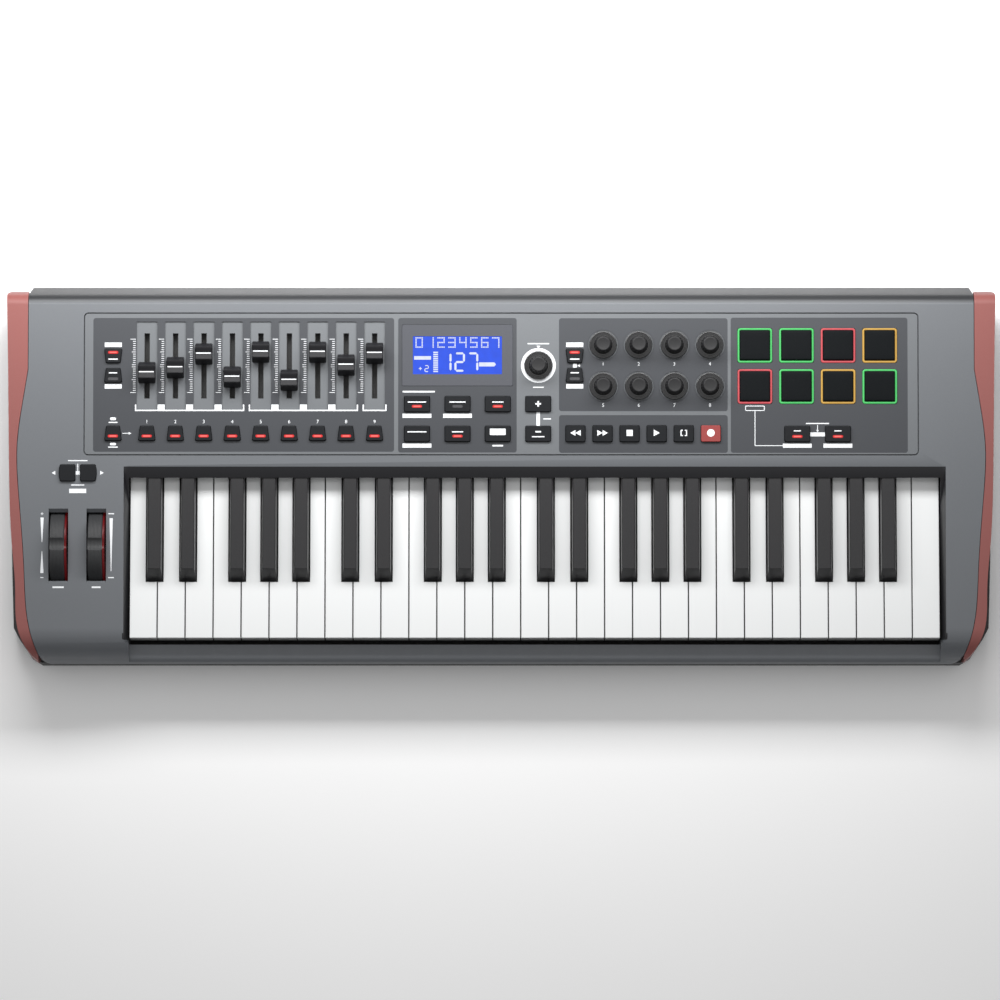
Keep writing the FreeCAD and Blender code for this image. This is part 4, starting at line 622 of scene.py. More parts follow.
GLOWS = {
    # The wheel's clear red ring has no lamp in it, so its faint glow is painted light.
    "ring_red": dict(colour=(0.10, 0.004, 0.005), strength=0.3, base=(0.09, 0.004, 0.005)),
    "pad_green": dict(colour=(0.070, 0.50, 0.125), strength=0.8, base=(0.05, 0.25, 0.08)),
    "pad_red": dict(colour=(0.56, 0.075, 0.10), strength=0.8, base=(0.25, 0.05, 0.05)),
    "pad_amber": dict(colour=(0.55, 0.31, 0.07), strength=0.8, base=(0.25, 0.16, 0.04)),
    "screen_blue": dict(colour=(0.001, 0.085, 0.95), strength=1.0),
    "screen_white": dict(colour=(0.80, 0.86, 1.0), strength=1.1),
    "lamp_red": dict(colour=(0.62, 0.035, 0.035), strength=1.0, base=(0.2, 0.01, 0.01)),
    "lamp_core": dict(colour=(1.0, 0.26, 0.23), strength=1.0, base=(0.2, 0.01, 0.01)),
}
METALS = {
    "steel": dict(colour=(0.56, 0.56, 0.58)),
    "socket_metal": dict(colour=(0.62, 0.62, 0.64)),
}
finish = {"case_grey": case_material(), "panel_grey": panel_material()}
for recipe, looks in ((plastic, PLASTICS), (glowing, GLOWS), (metal, METALS)):
    finish.update({name: recipe(name, **look) for name, look in looks.items()})
print(len(finish), "finishes")

# %% Lay the finishes on the model's nodes
finish_of_slot = {slot: finish.get(slot, finish["chassis_black"]) for slot in slot_of.values()}
for node, piece in nodes.items():
    piece.data.materials.clear()
    piece.data.materials.append(finish_of_slot[slot_of[node]])

SHOWN = [node for node in nodes if node.startswith("keys_") or node.endswith("_buttons")]
SHOWN += ["top_case", "bottom_case", "left_end_cheek", "right_end_cheek", "control_panel", "rubber_feet",
          "midi_sockets", "pedal_jacks"]
for node in SHOWN:
    if node != "transport_buttons":
        smooth_copy(node, node + "_skin", finish_of_slot[slot_of[node]])
record_x = buttons["transport_buttons"][-1][0][0] * MM - 2 * MM
smooth_copy("transport_buttons", "transport_buttons_skin", finish["button_black"], lambda c: c[:, 0] < record_x)
smooth_copy("transport_buttons", "record_button_skin", finish["record_red"], lambda c: c[:, 0] >= record_x)
print(len(SHOWN), "nodes shaded smooth")

# %% [markdown]
# ## Faders
# A fader's cap is a block with a sloping front and rear, a hollow on top for the fingertip, fine ridges on the
# slopes and a white line across the hollow. It is one side view carried across its width: near each end the view
# is drawn in along a quarter circle, which rounds the ends as a mould does. A bevel on a box would round every
# edge alike, and the hollow needs a curve anyway.

# %% Fader caps
CAP_HIGH = 12.0                   # height of a cap over the deck, in mm
CAP_HOLLOW = 1.5                  # depth of the hollow
CAP_TOP_HALF = 5.2                # half the length of the top
CAP_RIDGES = 5
CAP_RIDGE_DEPTH = 0.16
CAP_END_ROUND = 1.1
CAP_LINE_HALF = 0.42
CAP_LINE_PROUD = 0.07


def cap_side(half_length, height, count=64):
    """The side view of a cap, as (v, w) from the foot of its front slope over the top to the foot of the rear.

    The slopes are straight lines with a cosine ripple, and the hollow is a cosine dip: w = H - D (1 + cos) / 2."""
    rise = np.linspace(0, 1, count)
    ripple = CAP_RIDGE_DEPTH * np.cos(2 * math.pi * CAP_RIDGES * rise) * np.clip(4 * rise * (1 - rise), 0, 1)
    slope = np.stack([-half_length + (half_length - CAP_TOP_HALF) * rise - ripple, height * rise], -1)
    across = np.linspace(-1, 1, count)[1:-1]
    top = np.stack([CAP_TOP_HALF * across, height - CAP_HOLLOW * (1 + np.cos(math.pi * across)) / 2], -1)
    back = slope[::-1] * (-1, 1)
    return np.concatenate([slope, top, back])


def cap_mesh(box):
    """The cap's side view carried from one end to the other, drawn towards its middle at both ends."""
    low, high = box
    base = high[2] - CAP_HIGH
    side = cap_side((high[1] - low[1]) / 2, CAP_HIGH)
    half_width = (high[0] - low[0]) / 2
    turn = np.linspace(0, math.pi / 2, 5)
    ends = half_width - CAP_END_ROUND * (1 - np.sin(turn))
    inset = CAP_END_ROUND * (1 - np.cos(turn))
    places = np.concatenate([-ends[::-1], ends])
    insets = np.concatenate([inset[::-1], inset])
    heart = np.array([0.0, CAP_HIGH * 0.45])
    rings = []
    for x, drawn in zip(places, insets):
        away = side - heart
        ring = heart + away * (1 - drawn / np.linalg.norm(away, axis=1, keepdims=True))
        rings.append(np.column_stack([np.full(len(ring), x), ring + (0, base)]))
    verts, faces = stacked(rings[::-1])
    return verts + (*middle(box), 0), faces


fader_joints = sorted(name for name in joints if joints[name]["child"].startswith("fader_cap"))
cap_nodes = [joints[name]["child"] for name in fader_joints]
caps = {}
for node in cap_nodes:
    caps[node] = solids(node)[0]
    low, high = caps[node]
    piece = deck_piece(node + "_moulding", cap_mesh(caps[node]), "cap_black", node, 35)
    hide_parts(node)
    line = pillow(middle(caps[node]), (high[0] - low[0]) / 2 - 1.0, CAP_LINE_HALF, 0.1,
                  [(0, high[2] - CAP_HOLLOW - 0.3), (0, high[2] - CAP_HOLLOW + CAP_LINE_PROUD)])
    deck_piece(node + "_line", line, "print_white", node)
    stem = pillow(middle(caps[node]), 1.5, 3.0, 0.3, [(0, low[2]), (0, high[2] - CAP_HIGH + 1.0)])
    deck_piece(node + "_stem", stem, "chassis_black", node)
print(len(caps), "fader caps at v", [round(float(middle(b)[1]), 1) for b in caps.values()])

# %% [markdown]
# ## Knobs
# A knob is turned, so it is drawn as a turned thing: half its side view, carried round. The skirt is glossy and
# the grip is soft-touch, with shallow flutes that fade out below the top. They are cut with a cosine of the angle,
# so they need no separate cutter. Skirt and grip are two pieces, because they are two plastics.

# %% Knobs
DRAWN_RADIUS = 11.55              # the skirt that the grip's two radii go with, in mm
GRIP_FOOT, GRIP_TOP = 8.0, 5.6
GRIP_FLUTES = 18
FLUTE_DEPTH = 0.42
KNOB_TALL = 14.5
SKIRT_HIGH = 2.6


def arc_points(centre, radius, start, end, steps=6):
    """Points of an arc as (r, w), from start to end degrees."""
    turn = np.radians(np.linspace(start, end, steps + 1))
    return [(centre[0] + radius * math.cos(t), centre[1] + radius * math.sin(t)) for t in turn]


def skirt_profile(radius, foot):
    """A thin flange with a rounded rim, a shallow groove and a step up to the grip."""
    top = foot + SKIRT_HIGH
    rim = arc_points((radius - 0.8, top - 0.8), 0.8, 0, 90)
    groove = [(radius - 1.3, top), (radius - 1.6, top - 0.35), (radius - 2.4, top - 0.35), (radius - 2.7, top)]
    return [(0, foot), (radius, foot)] + rim + groove + [(radius - 3.4, top), (0, top)]


def grip_profile(radius, top_radius, foot, top):
    """A tapering grip whose edge is rounded and whose top is slightly hollow."""
    side = [(radius, foot), (radius - 0.1, foot + 1.0)]
    side += [(radius + (top_radius + 0.5 - radius) * t, foot + 1.0 + (top - foot - 2.0) * t)
             for t in np.linspace(0.12, 1, 9)]
    edge = arc_points((top_radius - 0.5, top - 1.0), 1.0, 0, 90)
    hollow = [(top_radius * t, top - 0.35 * (1 - t * t)) for t in (0.8, 0.6, 0.4, 0.2)]
    return [(0, foot)] + side + edge + hollow + [(0, top - 0.35)]


def fluted(foot, top, radius):
    """Flutes: the radius loses D (1 + cos N a) / 2, less and less towards the top and the foot."""
    def cut(angle, r, w):
        height = (w - foot) / (top - foot)
        fade = np.clip(6 * (1 - height) - 0.6, 0, 1) * np.clip(height * 12, 0, 1) * (r > radius * 0.55)
        return r - FLUTE_DEPTH * fade * (1 + np.cos(GRIP_FLUTES * angle)) / 2
    return cut


knob_nodes = [joint["child"] for joint in frame["joints"] if joint.get("continuous")]
knobs = {node: solids(node)[0] for node in knob_nodes}
for node, (low, high) in knobs.items():
    radius = (high[0] - low[0]) / 2
    grip_foot, grip_top = (size * radius / DRAWN_RADIUS for size in (GRIP_FOOT, GRIP_TOP))
    foot, top = high[2] - KNOB_TALL, high[2]
    shaft = [(0, low[2]), (3.0, low[2]), (3.0, foot + 0.5), (0, foot + 0.5)]
    skirt = revolved(skirt_profile(radius, foot), 96)
    grip = revolved(grip_profile(grip_foot, grip_top, foot + SKIRT_HIGH - 0.3, top), 216,
                    fluted(foot + SKIRT_HIGH, top, grip_foot))
    centre = (*middle((low, high)), 0)
    for part, label, material in ((skirt, "skirt", "knob_rim"), (grip, "grip", "knob_black"),
                                  (revolved(shaft, 32), "shaft", "steel")):
        piece = deck_piece(node + "_" + label, (part[0] + centre, part[1]), material, node, 35)
    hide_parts(node)
print(len(knobs), "knobs")

# %% [markdown]
# ## Wheels
# The pitch and modulation wheels are turned as well, about an axle along X. The thumb rests in a notch, which is a
# second, smaller circle that bites into the rim. For a point at an angle p from the top, the wheel's radius is the
# smaller of its own and the notch's: r = d cos p - sqrt(q q - d d sin sin p), with d the distance between the two
# centres and q the notch's radius. Fine grooves run round the rim, and a clear red ring sits on its right side.

# %% Wheels
WHEEL_RADIUS = 33.0
NOTCH_RADIUS, NOTCH_DEPTH = 8.0, 2.2
GROOVE_PITCH, GROOVE_DEPTH = 1.15, 0.22
RING_WIDTH, RING_SINK, RING_INNER = 1.3, 1.2, 24.0
RIM_INNER, HUB_RADIUS, BORE_RADIUS, WEB_HALF = 28.5, 8.0, 3.06, 2.5
NO_BITE = 1e3                     # stands for the notch's limit where there is no notch
wheel_joints = {joints[name]["child"]: joints[name] for name in ("pitch_wheel_turn", "mod_wheel_turn")}


def wheel_section(half_left, half_right):
    """The wheel's section as (x, r), anticlockwise: hub, web and a rim whose tread is grooved by a cosine."""
    tread = np.linspace(half_right - 0.8, -half_left + 0.8, 61)
    groove = GROOVE_DEPTH * (1 - np.cos(2 * math.pi * (tread - tread[-1]) / GROOVE_PITCH)) / 2
    crown = WHEEL_RADIUS - groove - 0.0045 * (tread - (half_right - half_left) / 2) ** 2
    wall = [RIM_INNER, *np.linspace(RIM_INNER + 1.0, WHEEL_RADIUS - 1.2, 3)]
    right = [(half_right, r) for r in wall]
    left = [(-half_left, r) for r in wall[::-1]]
    web = (RIM_INNER - 0.5, HUB_RADIUS + 0.5)
    inner = [(-WEB_HALF, r) for r in web] + [(-half_left, HUB_RADIUS), (-half_left, BORE_RADIUS)]
    inner += [(half_right, BORE_RADIUS), (half_right, HUB_RADIUS)] + [(WEB_HALF, r) for r in web[::-1]]
    return np.array(right + list(zip(tread, crown)) + left + inner)


def turned_about_x(section, centre, count):
    """A closed section of (x, r) carried round the X axis, its radius limited by the thumb notch."""
    angle = np.linspace(0, 2 * math.pi, count, endpoint=False)
    distance = WHEEL_RADIUS - NOTCH_DEPTH + NOTCH_RADIUS
    inside = NOTCH_RADIUS ** 2 - (distance * np.sin(angle)) ** 2
    bite = np.where((inside > 0) & (np.cos(angle) > 0), distance * np.cos(angle) - np.sqrt(np.abs(inside)),
                    NO_BITE)
    x, r = section.T
    shallow = np.where(r > WHEEL_RADIUS - 2.0, r - WHEEL_RADIUS, 0)
    limit = np.where(bite[:, None] < NO_BITE, bite[:, None] + np.maximum(shallow, -0.4)[None, :], NO_BITE)
    r = np.minimum(np.repeat(r[None, :], count, 0), limit)
    rings = np.stack([np.repeat(x[None, :], count, 0), np.sin(angle)[:, None] * r, np.cos(angle)[:, None] * r], -1)
    verts, faces = closed_tube(rings)
    return verts * MM + centre, faces


for node, joint in wheel_joints.items():
    low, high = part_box(node)
    centre = np.array([(low.x + high.x) / 2, *joint["pos_m"][1:]])
    half = (high.x - low.x) / 2 / MM
    verts, faces = turned_about_x(wheel_section(half, half - RING_WIDTH - 0.3), centre, 480)
    piece = add_piece(node + "_tyre", verts, faces, finish["wheel_black"], node, 50)
    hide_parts(node)
    # The clear red ring glows faintly though no lamp lights it: a painted glow.
    outer = WHEEL_RADIUS - RING_SINK
    edge = np.array([(half - RING_WIDTH - 0.2, outer), (half - RING_WIDTH - 0.2, RING_INNER), (half, RING_INNER),
                     (half, outer - 0.5), (half - 0.4, outer)])
    verts, faces = turned_about_x(edge[::-1], centre, 240)
    add_piece(node + "_red_ring", verts, faces, finish["ring_red"], node, 50)
print("wheels turn at", [[round(v, 4) for v in joint["pos_m"]] for joint in wheel_joints.values()])

# %% [markdown]
# ## Pads and their light frames
# A drum pad is a soft square with a very large edge radius, inside a clear frame that is lit from below. The
# frame is an outline of the pad carried through a small half round, so it is a closed tube with square corners.

# %% Pads
PAD_INSET, PAD_BACK = 0.12, 0.25  # the pad's top is drawn in and sits towards the rear, in mm
PAD_CORNER = 1.6
PAD_FLANGE = 1.7                  # how far the flange under a pad reaches beyond its sides
FRAME_CORNER = 2.2
PAD_LIGHTS = ("green", "green", "red", "amber", "red", "green", "amber", "green")
pad_boxes = solids("drum_pads")
frame_boxes = solids("pad_light_frames")


def pad_mesh(box):
    """A pad: straight sides, an edge rounded by a quarter circle and a top that rises 0.15 mm to its middle."""
    low, high = box
    half = (high[:2] - low[:2]) / 2 - PAD_FLANGE
    steps = [(inset + PAD_INSET, w) for inset, w in soft_edge(low[2] + 1.5, high[2] - 0.15, 1.1, 6)]
    steps += [(PAD_INSET + 3.0, high[2] - 0.06), (PAD_INSET + 6.0, high[2])]
    verts, faces = pillow(middle(box) + (0, PAD_BACK), *half, PAD_CORNER, steps)
    flange = pillow(middle(box), *(half + 1.6), PAD_CORNER, [(0, low[2]), (0, low[2] + 1.5)])
    return together([(verts, faces), flange])


def frame_mesh(box, pad_half):
    """A light frame: the pad's outline carried through a half round, from the inner wall over the top."""
    low, high = box
    outer = (high[:2] - low[:2]) / 2 - 1.5
    inner = pad_half + 0.22
    width = outer - inner
    section = [(0.0, low[2] + 1.6), (0.0, high[2] - 0.5)]
    section += [(0.5 * (1 - math.cos(t)) * width[0], high[2] - 0.5 + 0.5 * math.sin(t))
                for t in np.linspace(0.2, math.pi - 0.2, 7)]
    section += [(width[0], high[2] - 0.5), (width[0], low[2] + 1.6)]
    return closed_tube([at_height(rounded_outline(*(outer - inset), max(FRAME_CORNER - inset, 0.3)) + middle(box), w)
                        for inset, w in section])


pad_half = (pad_boxes[0][1][:2] - pad_boxes[0][0][:2]) / 2 - PAD_FLANGE
pads = deck_piece("drum_pad_rubbers", together([pad_mesh(box) for box in pad_boxes]), "pad_rubber", "drum_pads",
                  40)
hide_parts("drum_pads")
for number, (box, colour) in enumerate(zip(frame_boxes, PAD_LIGHTS), 1):
    piece = deck_piece("pad_light_%d" % number, frame_mesh(box, pad_half), "pad_" + colour, "case", 50)
    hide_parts("pad_light_frames")
print(len(frame_boxes), "pads with lights", PAD_LIGHTS)

# %% [markdown]
# ## Display
# The display is a dark window with a blue lamp-lit panel in it. Everything it shows is numbers: large digits made
# of seven bars, a row of small digits made of dots, and a column of level bars. The small digits come from the
# same seven bars, by lighting the dots that each bar crosses.

# %% Digits from seven bars
# Each bar as (x0, v0, x1, v1) in a digit that is 1 wide and 2 tall, by its usual letter.
BARS = {"a": (0, 2, 1, 2), "b": (1, 1, 1, 2), "c": (1, 0, 1, 1), "d": (0, 0, 1, 0), "e": (0, 0, 0, 1),
        "f": (0, 1, 0, 2), "g": (0, 1, 1, 1)}
LIT = {"0": "abcdef", "1": "bc", "2": "abged", "3": "abgcd", "4": "fgbc", "5": "afgcd", "6": "afgedc", "7": "abc",
       "8": "abcdefg", "9": "abcdfg"}


def raised(outlines, low, high):
    """Flat prisms over closed outlines of (x, v) points, from w low to w high."""
    return together([outward(*stacked([at_height(outline, w) for w in (low, high)])) for outline in outlines])


def bar_shape(a, b, thick):
    """A bar of a digit from a to b: a strip with pointed ends, a little short of both."""
    a, b = np.asarray(a, float), np.asarray(b, float)
    along = (b - a) / np.linalg.norm(b - a)
    side = np.array([-along[1], along[0]]) * thick / 2
    tip = along * thick / 2
    a, b = a + tip * 0.25, b - tip * 0.25
    return [a, a + tip - side, b - tip - side, b, b - tip + side, a + tip + side]


def bar_digit(digit, centre, width, height, thick):
    """The lit bars of one digit, as outlines."""
    scale = np.array([width - thick, (height - thick) / 2])
    corner = np.asarray(centre, float) - scale * (0.5, 1.0)
    return [bar_shape(corner + scale * BARS[b][:2], corner + scale * BARS[b][2:], thick) for b in LIT[digit]]


def dot_digit(digit, centre, pitch, dot):
    """The lit dots of one digit on a grid of 5 by 7, as small squares."""
    column, row = np.meshgrid(np.arange(5), np.arange(7))
    lit = np.zeros((7, 5), bool)
    for letter in LIT[digit]:
        x0, v0, x1, v1 = np.array(BARS[letter]) * (4, 3, 4, 3)
        lit |= (column >= x0) & (column <= x1) & (row >= v0) & (row <= v1)
    places = np.column_stack([column[lit] - 2, row[lit] - 3]) * pitch + centre
    square = np.array([(-1, -1), (1, -1), (1, 1), (-1, 1)]) * dot / 2
    return [place + square for place in places]


# %% The display's window and what it shows
SCREEN_W, SCREEN_D = 74.8, 31.9
window_low, window_high = solids("display_window")[0]
window = (window_low + window_high)[:2] / 2
window_half = (window_high - window_low)[:2] / 2
section = [(0, window_low[2]), (0, window_high[2] - 0.15), (0.15, window_high[2])]
bezel_rings = [at_height(rounded_outline(*(window_half - inset), 1.3 - inset) + window, w) for inset, w in section]
bezel_rings += [at_height(rounded_outline(SCREEN_W / 2, SCREEN_D / 2, 0.4) + window, w)
                for w in (window_high[2], window_low[2])]
bezel = deck_piece("display_bezel", outward(*closed_tube(bezel_rings)), "bezel_dark", "case", 30)
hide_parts("display_window")
screen_top = window_high[2] - 0.45
screen = pillow(window, SCREEN_W / 2 - 0.05, SCREEN_D / 2 - 0.05, 0.4, [(0, window_low[2]), (0, screen_top)])
deck_piece("display_screen", screen, "screen_blue", "case", 30)


def strip(x, v, width, height):
    """A plain rectangle centred on x, v."""
    return [(x - width / 2, v - height / 2), (x + width / 2, v - height / 2), (x + width / 2, v + height / 2),
            (x - width / 2, v + height / 2)]


def strokes(anchor, *rows):
    """Rectangles placed from an anchor on the deck, each row as (right, up, width, height) in mm."""
    return [strip(anchor[0] + right, anchor[1] + up, width, height) for right, up, width, height in rows]


# What the display shows, from its middle: a row of dotted digits, a large number, and level bars at its left.
SMALL_DIGITS, SMALL_STEP, SMALL_UP, DOT_PITCH, DOT = "01234567", 9.2, 10.8, 1.3, 1.02
LARGE_DIGITS, LARGE_UP, LARGE_SIZE = ((-9.4, "1"), (1.9, "2"), (13.1, "7")), -5.7, (8.9, 16.4, 1.75)
LEVELS = [(-18.3, -13.6 + step * 1.78, 4.0, 1.15) for step in range(10)]
DISPLAY_TAG = (-29.3, -2.2, 14.2, 3.0)
DISPLAY_FLAG = ((18.2, -9.4), (31.0, -9.4), (32.4, -7.7), (31.0, -6.0), (18.2, -6.0))
DISPLAY_PLUS = ((-31.2, -11.2, 2.6, 0.7), (-31.2, -11.2, 0.7, 2.6))
shown = []
for place, digit in enumerate(SMALL_DIGITS):
    shown += dot_digit(digit, window + ((place - 3.5) * SMALL_STEP, SMALL_UP), DOT_PITCH, DOT)
for place, digit in LARGE_DIGITS:
    shown += bar_digit(digit, window + (place, LARGE_UP), *LARGE_SIZE)
shown += bar_digit("2", window + (-25.9, -11.2), 3.6, 5.8, 0.75)
shown += strokes(window, *LEVELS, DISPLAY_TAG, *DISPLAY_PLUS) + [window + DISPLAY_FLAG]
characters = raised(shown, screen_top - 0.1, screen_top + 0.08)
deck_piece("display_characters", characters, "screen_white", "case")
print(len(shown), "lit shapes on the display")

# %% [markdown]
# ## Lamps and marks on the buttons
# Each lit button has a small clear window with a red lamp under it, brightest in the middle. The marks are
# printed. Both are thin pieces that stand a few hundredths of a millimetre proud and ride with their buttons, so
# they go down when the button is pressed. Words are left out. Plain strokes stand where the words would be.

# %% Button lamps and printed strokes
LAMP = (8.6, 2.3)                 # width and depth of a lamp's window
STROKE = 0.9                      # height of a printed stroke
ink = {name: [] for name in buttons}
lamps = {name: [] for name in buttons}
dark_lamps = {name: [] for name in buttons}
TOP = {name: boxes[0][1][2] for name, boxes in buttons.items()}


def pill(x, v, width, height, steps=4):
    """A rectangle with rounded ends, centred on x, v."""
    return rounded_outline(width / 2, height / 2, min(width, height) / 2 - 0.01, steps) + (x, v)


def in_order(name, key=lambda centre: centre[0]):
    """The centres of a block's buttons, from the left or in the order of a key."""
    return sorted((middle(box) for box in buttons[name]), key=key)


fader_keys = in_order("fader_buttons")
for x, v in fader_keys:
    lamps["fader_buttons"].append((x, v - 2.4))

modes = in_order("mode_buttons", lambda centre: (round(centre[0]), -centre[1]))
bank_left, bank_left_low, bank_right, bank_right_low, roll, arp = modes
# Mode buttons in pairs, with their kind of lamp, how far up it sits, and the stroke's height and width.
for pair, kind, lamp_up, stroke_up, width in (((bank_left, bank_right), lamps, 2.8, -2.9, 8.0),
                                              ((bank_left_low, bank_right_low), dark_lamps, -3.1, 1.9, 7.0),
                                              ((roll, arp), lamps, -2.3, 2.4, 6.0)):
    for x, v in pair:
        kind["mode_buttons"].append((x, v + lamp_up))
        ink["mode_buttons"].append(strip(x, v + stroke_up, width, STROKE))

edits = in_order("edit_buttons", lambda centre: (-round(centre[1]), centre[0]))
STROKE_WIDTHS = (15.5, 13.5, 9.5, 0, 16.0, 9.5, 0, 0)
for place, ((x, v), width) in enumerate(zip(edits, STROKE_WIDTHS)):
    if width:
        ink["edit_buttons"].append(strip(x, v + 1.5, width, STROKE))
    if place in (0, 2, 5):
        lamps["edit_buttons"].append((x, v - 2.1))
    elif place == 1:
        dark_lamps["edit_buttons"].append((x, v - 2.1))
shift, plus, minus = edits[6], edits[3], edits[7]
ink["edit_buttons"] += strokes(plus, (0, 0, 4.7, 1.3), (0, 0, 1.3, 4.7))
ink["edit_buttons"] += strokes(minus, (0, 1.6, 4.7, 1.3), (0, -2.6, 10.5, STROKE))
ink["edit_buttons"].append(rounded_outline(6.6, 2.7, 0.5) + shift + (0, 1.5))

# %% Transport marks
ICON = 5.2                        # height of a mark, in mm
ICON_UP = 0.5                     # how far it stands behind the button's middle
rewind, forward, stop, play, loop, record_key = [centre + (0, ICON_UP) for centre in in_order("transport_buttons")]


def arrow_head(x, v, width, height, way=1):
    """A triangle that points along x, or against it with way -1."""
    return [(x - way * width / 2, v - height / 2), (x + way * width / 2, v), (x - way * width / 2, v + height / 2)]


marks = ink["transport_buttons"]
for shift_x in (-2.2, 2.2):
    marks.append(arrow_head(rewind[0] + shift_x, rewind[1], 4.4, 4.9, -1))
    marks.append(arrow_head(forward[0] + shift_x, forward[1], 4.4, 4.9))
marks.append(strip(*stop, ICON, ICON))
marks.append(arrow_head(*play, 5.0, 5.6))
for side in (-1, 1):
    marks += strokes(loop, (side * 2.3, 0, 0.9, ICON), (side * 1.55, 2.2, 1.5, 0.9), (side * 1.55, -2.2, 1.5, 0.9))
marks.append(pill(*record_key, 6.4, 6.4, 10))
print({name: len(shapes) for name, shapes in ink.items()})

# %% Lay them on the buttons
CORE = (LAMP[0] - 2.6, LAMP[1] - 1.3)  # the bright middle of a lamp's window
for name in sorted(buttons):
    lit, dark = ([pill(x, v, *LAMP) for x, v in places[name]] for places in (lamps, dark_lamps))
    cores = [pill(x, v, *CORE) for x, v in lamps[name]]
    # Each kind as its label, outlines and finish, and how far it reaches below and above the button's top.
    for label, outlines, look, below, above in (("print", ink[name], "print_white", 0.1, 0.05),
                                                ("lamps", lit, "lamp_red", 0.2, 0.06),
                                                ("lamps_off", dark, "light_off", 0.2, 0.06),
                                                ("lamp_cores", cores, "lamp_core", 0.1, 0.12)):
        if outlines:
            deck_piece(name + "_" + label, raised(outlines, TOP[name] - below, TOP[name] + above), look, name)

# %% [markdown]
# ## Print on the panel and the deck
# White print marks the fader scales, groups the faders, and labels buttons with plain bars. It is silk screened,
# a few hundredths of a millimetre thick. One helper makes a strip and another turns numerals into a mesh, and all
# of it becomes a single piece.

# %% Scales, brackets and numerals
SCALE_STEPS = 25
ticks, numerals = [], []
travel = joints["fader_1_slide"]["range_m"]
cap_centres = {name: middle(caps[joints[name]["child"]]) for name in fader_joints}
first = cap_centres["fader_1_slide"]
scale_low = first[1] + travel[0] / MM
scale_high = first[1] + travel[1] / MM
fader_x = sorted(centre[0] for centre in cap_centres.values())
TICK_SHORT, TICK_MIDDLE, TICK_LONG, TICK_THICK = 2.3, 3.3, 4.5, 0.42
TICK_AWAY = 9.5                   # from the middle of a fader to the right end of its ticks
for x in fader_x:
    for step in range(SCALE_STEPS + 1):
        v = scale_low + (scale_high - scale_low) * step / SCALE_STEPS
        quarter = min(abs(step - SCALE_STEPS * q / 4) for q in range(5)) < 0.51
        length = TICK_LONG if step in (0, SCALE_STEPS) else TICK_MIDDLE if quarter else TICK_SHORT
        ticks.append(strip(x - TICK_AWAY - length / 2, v, length, TICK_THICK))

BAY_HALF, BAY_FOOT = 8.75, -21.64     # half the width of a fader's bay and the v of its foot
BRACKET_RISE, BRACKET_LINE, BRACKET_OUT, BRACKET_DOWN = 4.4, 1.1, 1.3, 0.15
for group in (fader_x[0:4], fader_x[4:8], fader_x[8:9]):
    left, right = group[0] - BAY_HALF - BRACKET_OUT, group[-1] + BAY_HALF + BRACKET_OUT
    ticks.append(strip((left + right) / 2, BAY_FOOT - BRACKET_LINE / 2 - BRACKET_DOWN, right - left, BRACKET_LINE))
    posts = [(x, BRACKET_LINE) for x in (left + BRACKET_LINE / 2, right - BRACKET_LINE / 2)]
    posts += [((a + b) / 2, b - a - 2 * BAY_HALF - 0.5) for a, b in zip(group, group[1:])]
    ticks += [strip(x, BAY_FOOT - BRACKET_DOWN + BRACKET_RISE / 2, width, BRACKET_RISE) for x, width in posts]


def numeral(text, x, v, height):
    """A number as a mesh: Blender's own letters, extruded, with their middle put at x, v on the deck."""
    curve = bpy.data.curves.new("numeral", "FONT")
    curve.body = text
    curve.size = height / 0.7
    curve.extrude = 0.06
    curve.resolution_u = 3
    curve.align_x = "CENTER"
    letters = bpy.data.objects.new("numeral", curve)
    bpy.context.scene.collection.objects.link(letters)
    mesh = bpy.data.meshes.new_from_object(letters)
    place = np.empty(len(mesh.vertices) * 3)
    mesh.vertices.foreach_get("co", place)
    place = place.reshape(-1, 3)
    _, first, same = np.unique(np.round(place, 4), axis=0, return_index=True, return_inverse=True)
    same = same.reshape(-1)
    faces = [same[list(face.vertices)] for face in mesh.polygons]
    bpy.data.objects.remove(letters)
    bpy.data.curves.remove(curve)
    bpy.data.meshes.remove(mesh)
    return place[first] + (x, v - height / 2, 0), faces


NUMERAL = 2.9                     # height of a numeral, in mm
FADER_NUMERAL_V, KNOB_NUMERAL_DOWN = -31.7, 15.9
places = [(number, x, FADER_NUMERAL_V) for number, x in enumerate(fader_x, 1)]
for number in range(1, 9):
    x, v = middle(knobs["knob_%d" % number])
    places.append((number, x, v - KNOB_NUMERAL_DOWN))
numerals += [numeral(str(number), x, v, NUMERAL) for number, x, v in places]

# %% Label bars, rings and links
LABEL = (14.3, 3.7)               # width and height of a button's label
WIDE_LABEL = (24.2, 3.5)
LABEL_AWAY, WIDE_LABEL_AWAY = 9.35, 9.9
LINK = 0.6                        # thickness of the line that links the pads to their buttons
TAG, TAG_DOWN, LINK_SHORT = (16.4, 4.4), 18.4, 12.0
THICK_STROKE = 1.3


def down_head(x, v, half_width, rise):
    """A triangle whose tip points to the front, at x, v."""
    return [(x - half_width, v + rise), (x, v), (x + half_width, v + rise)]


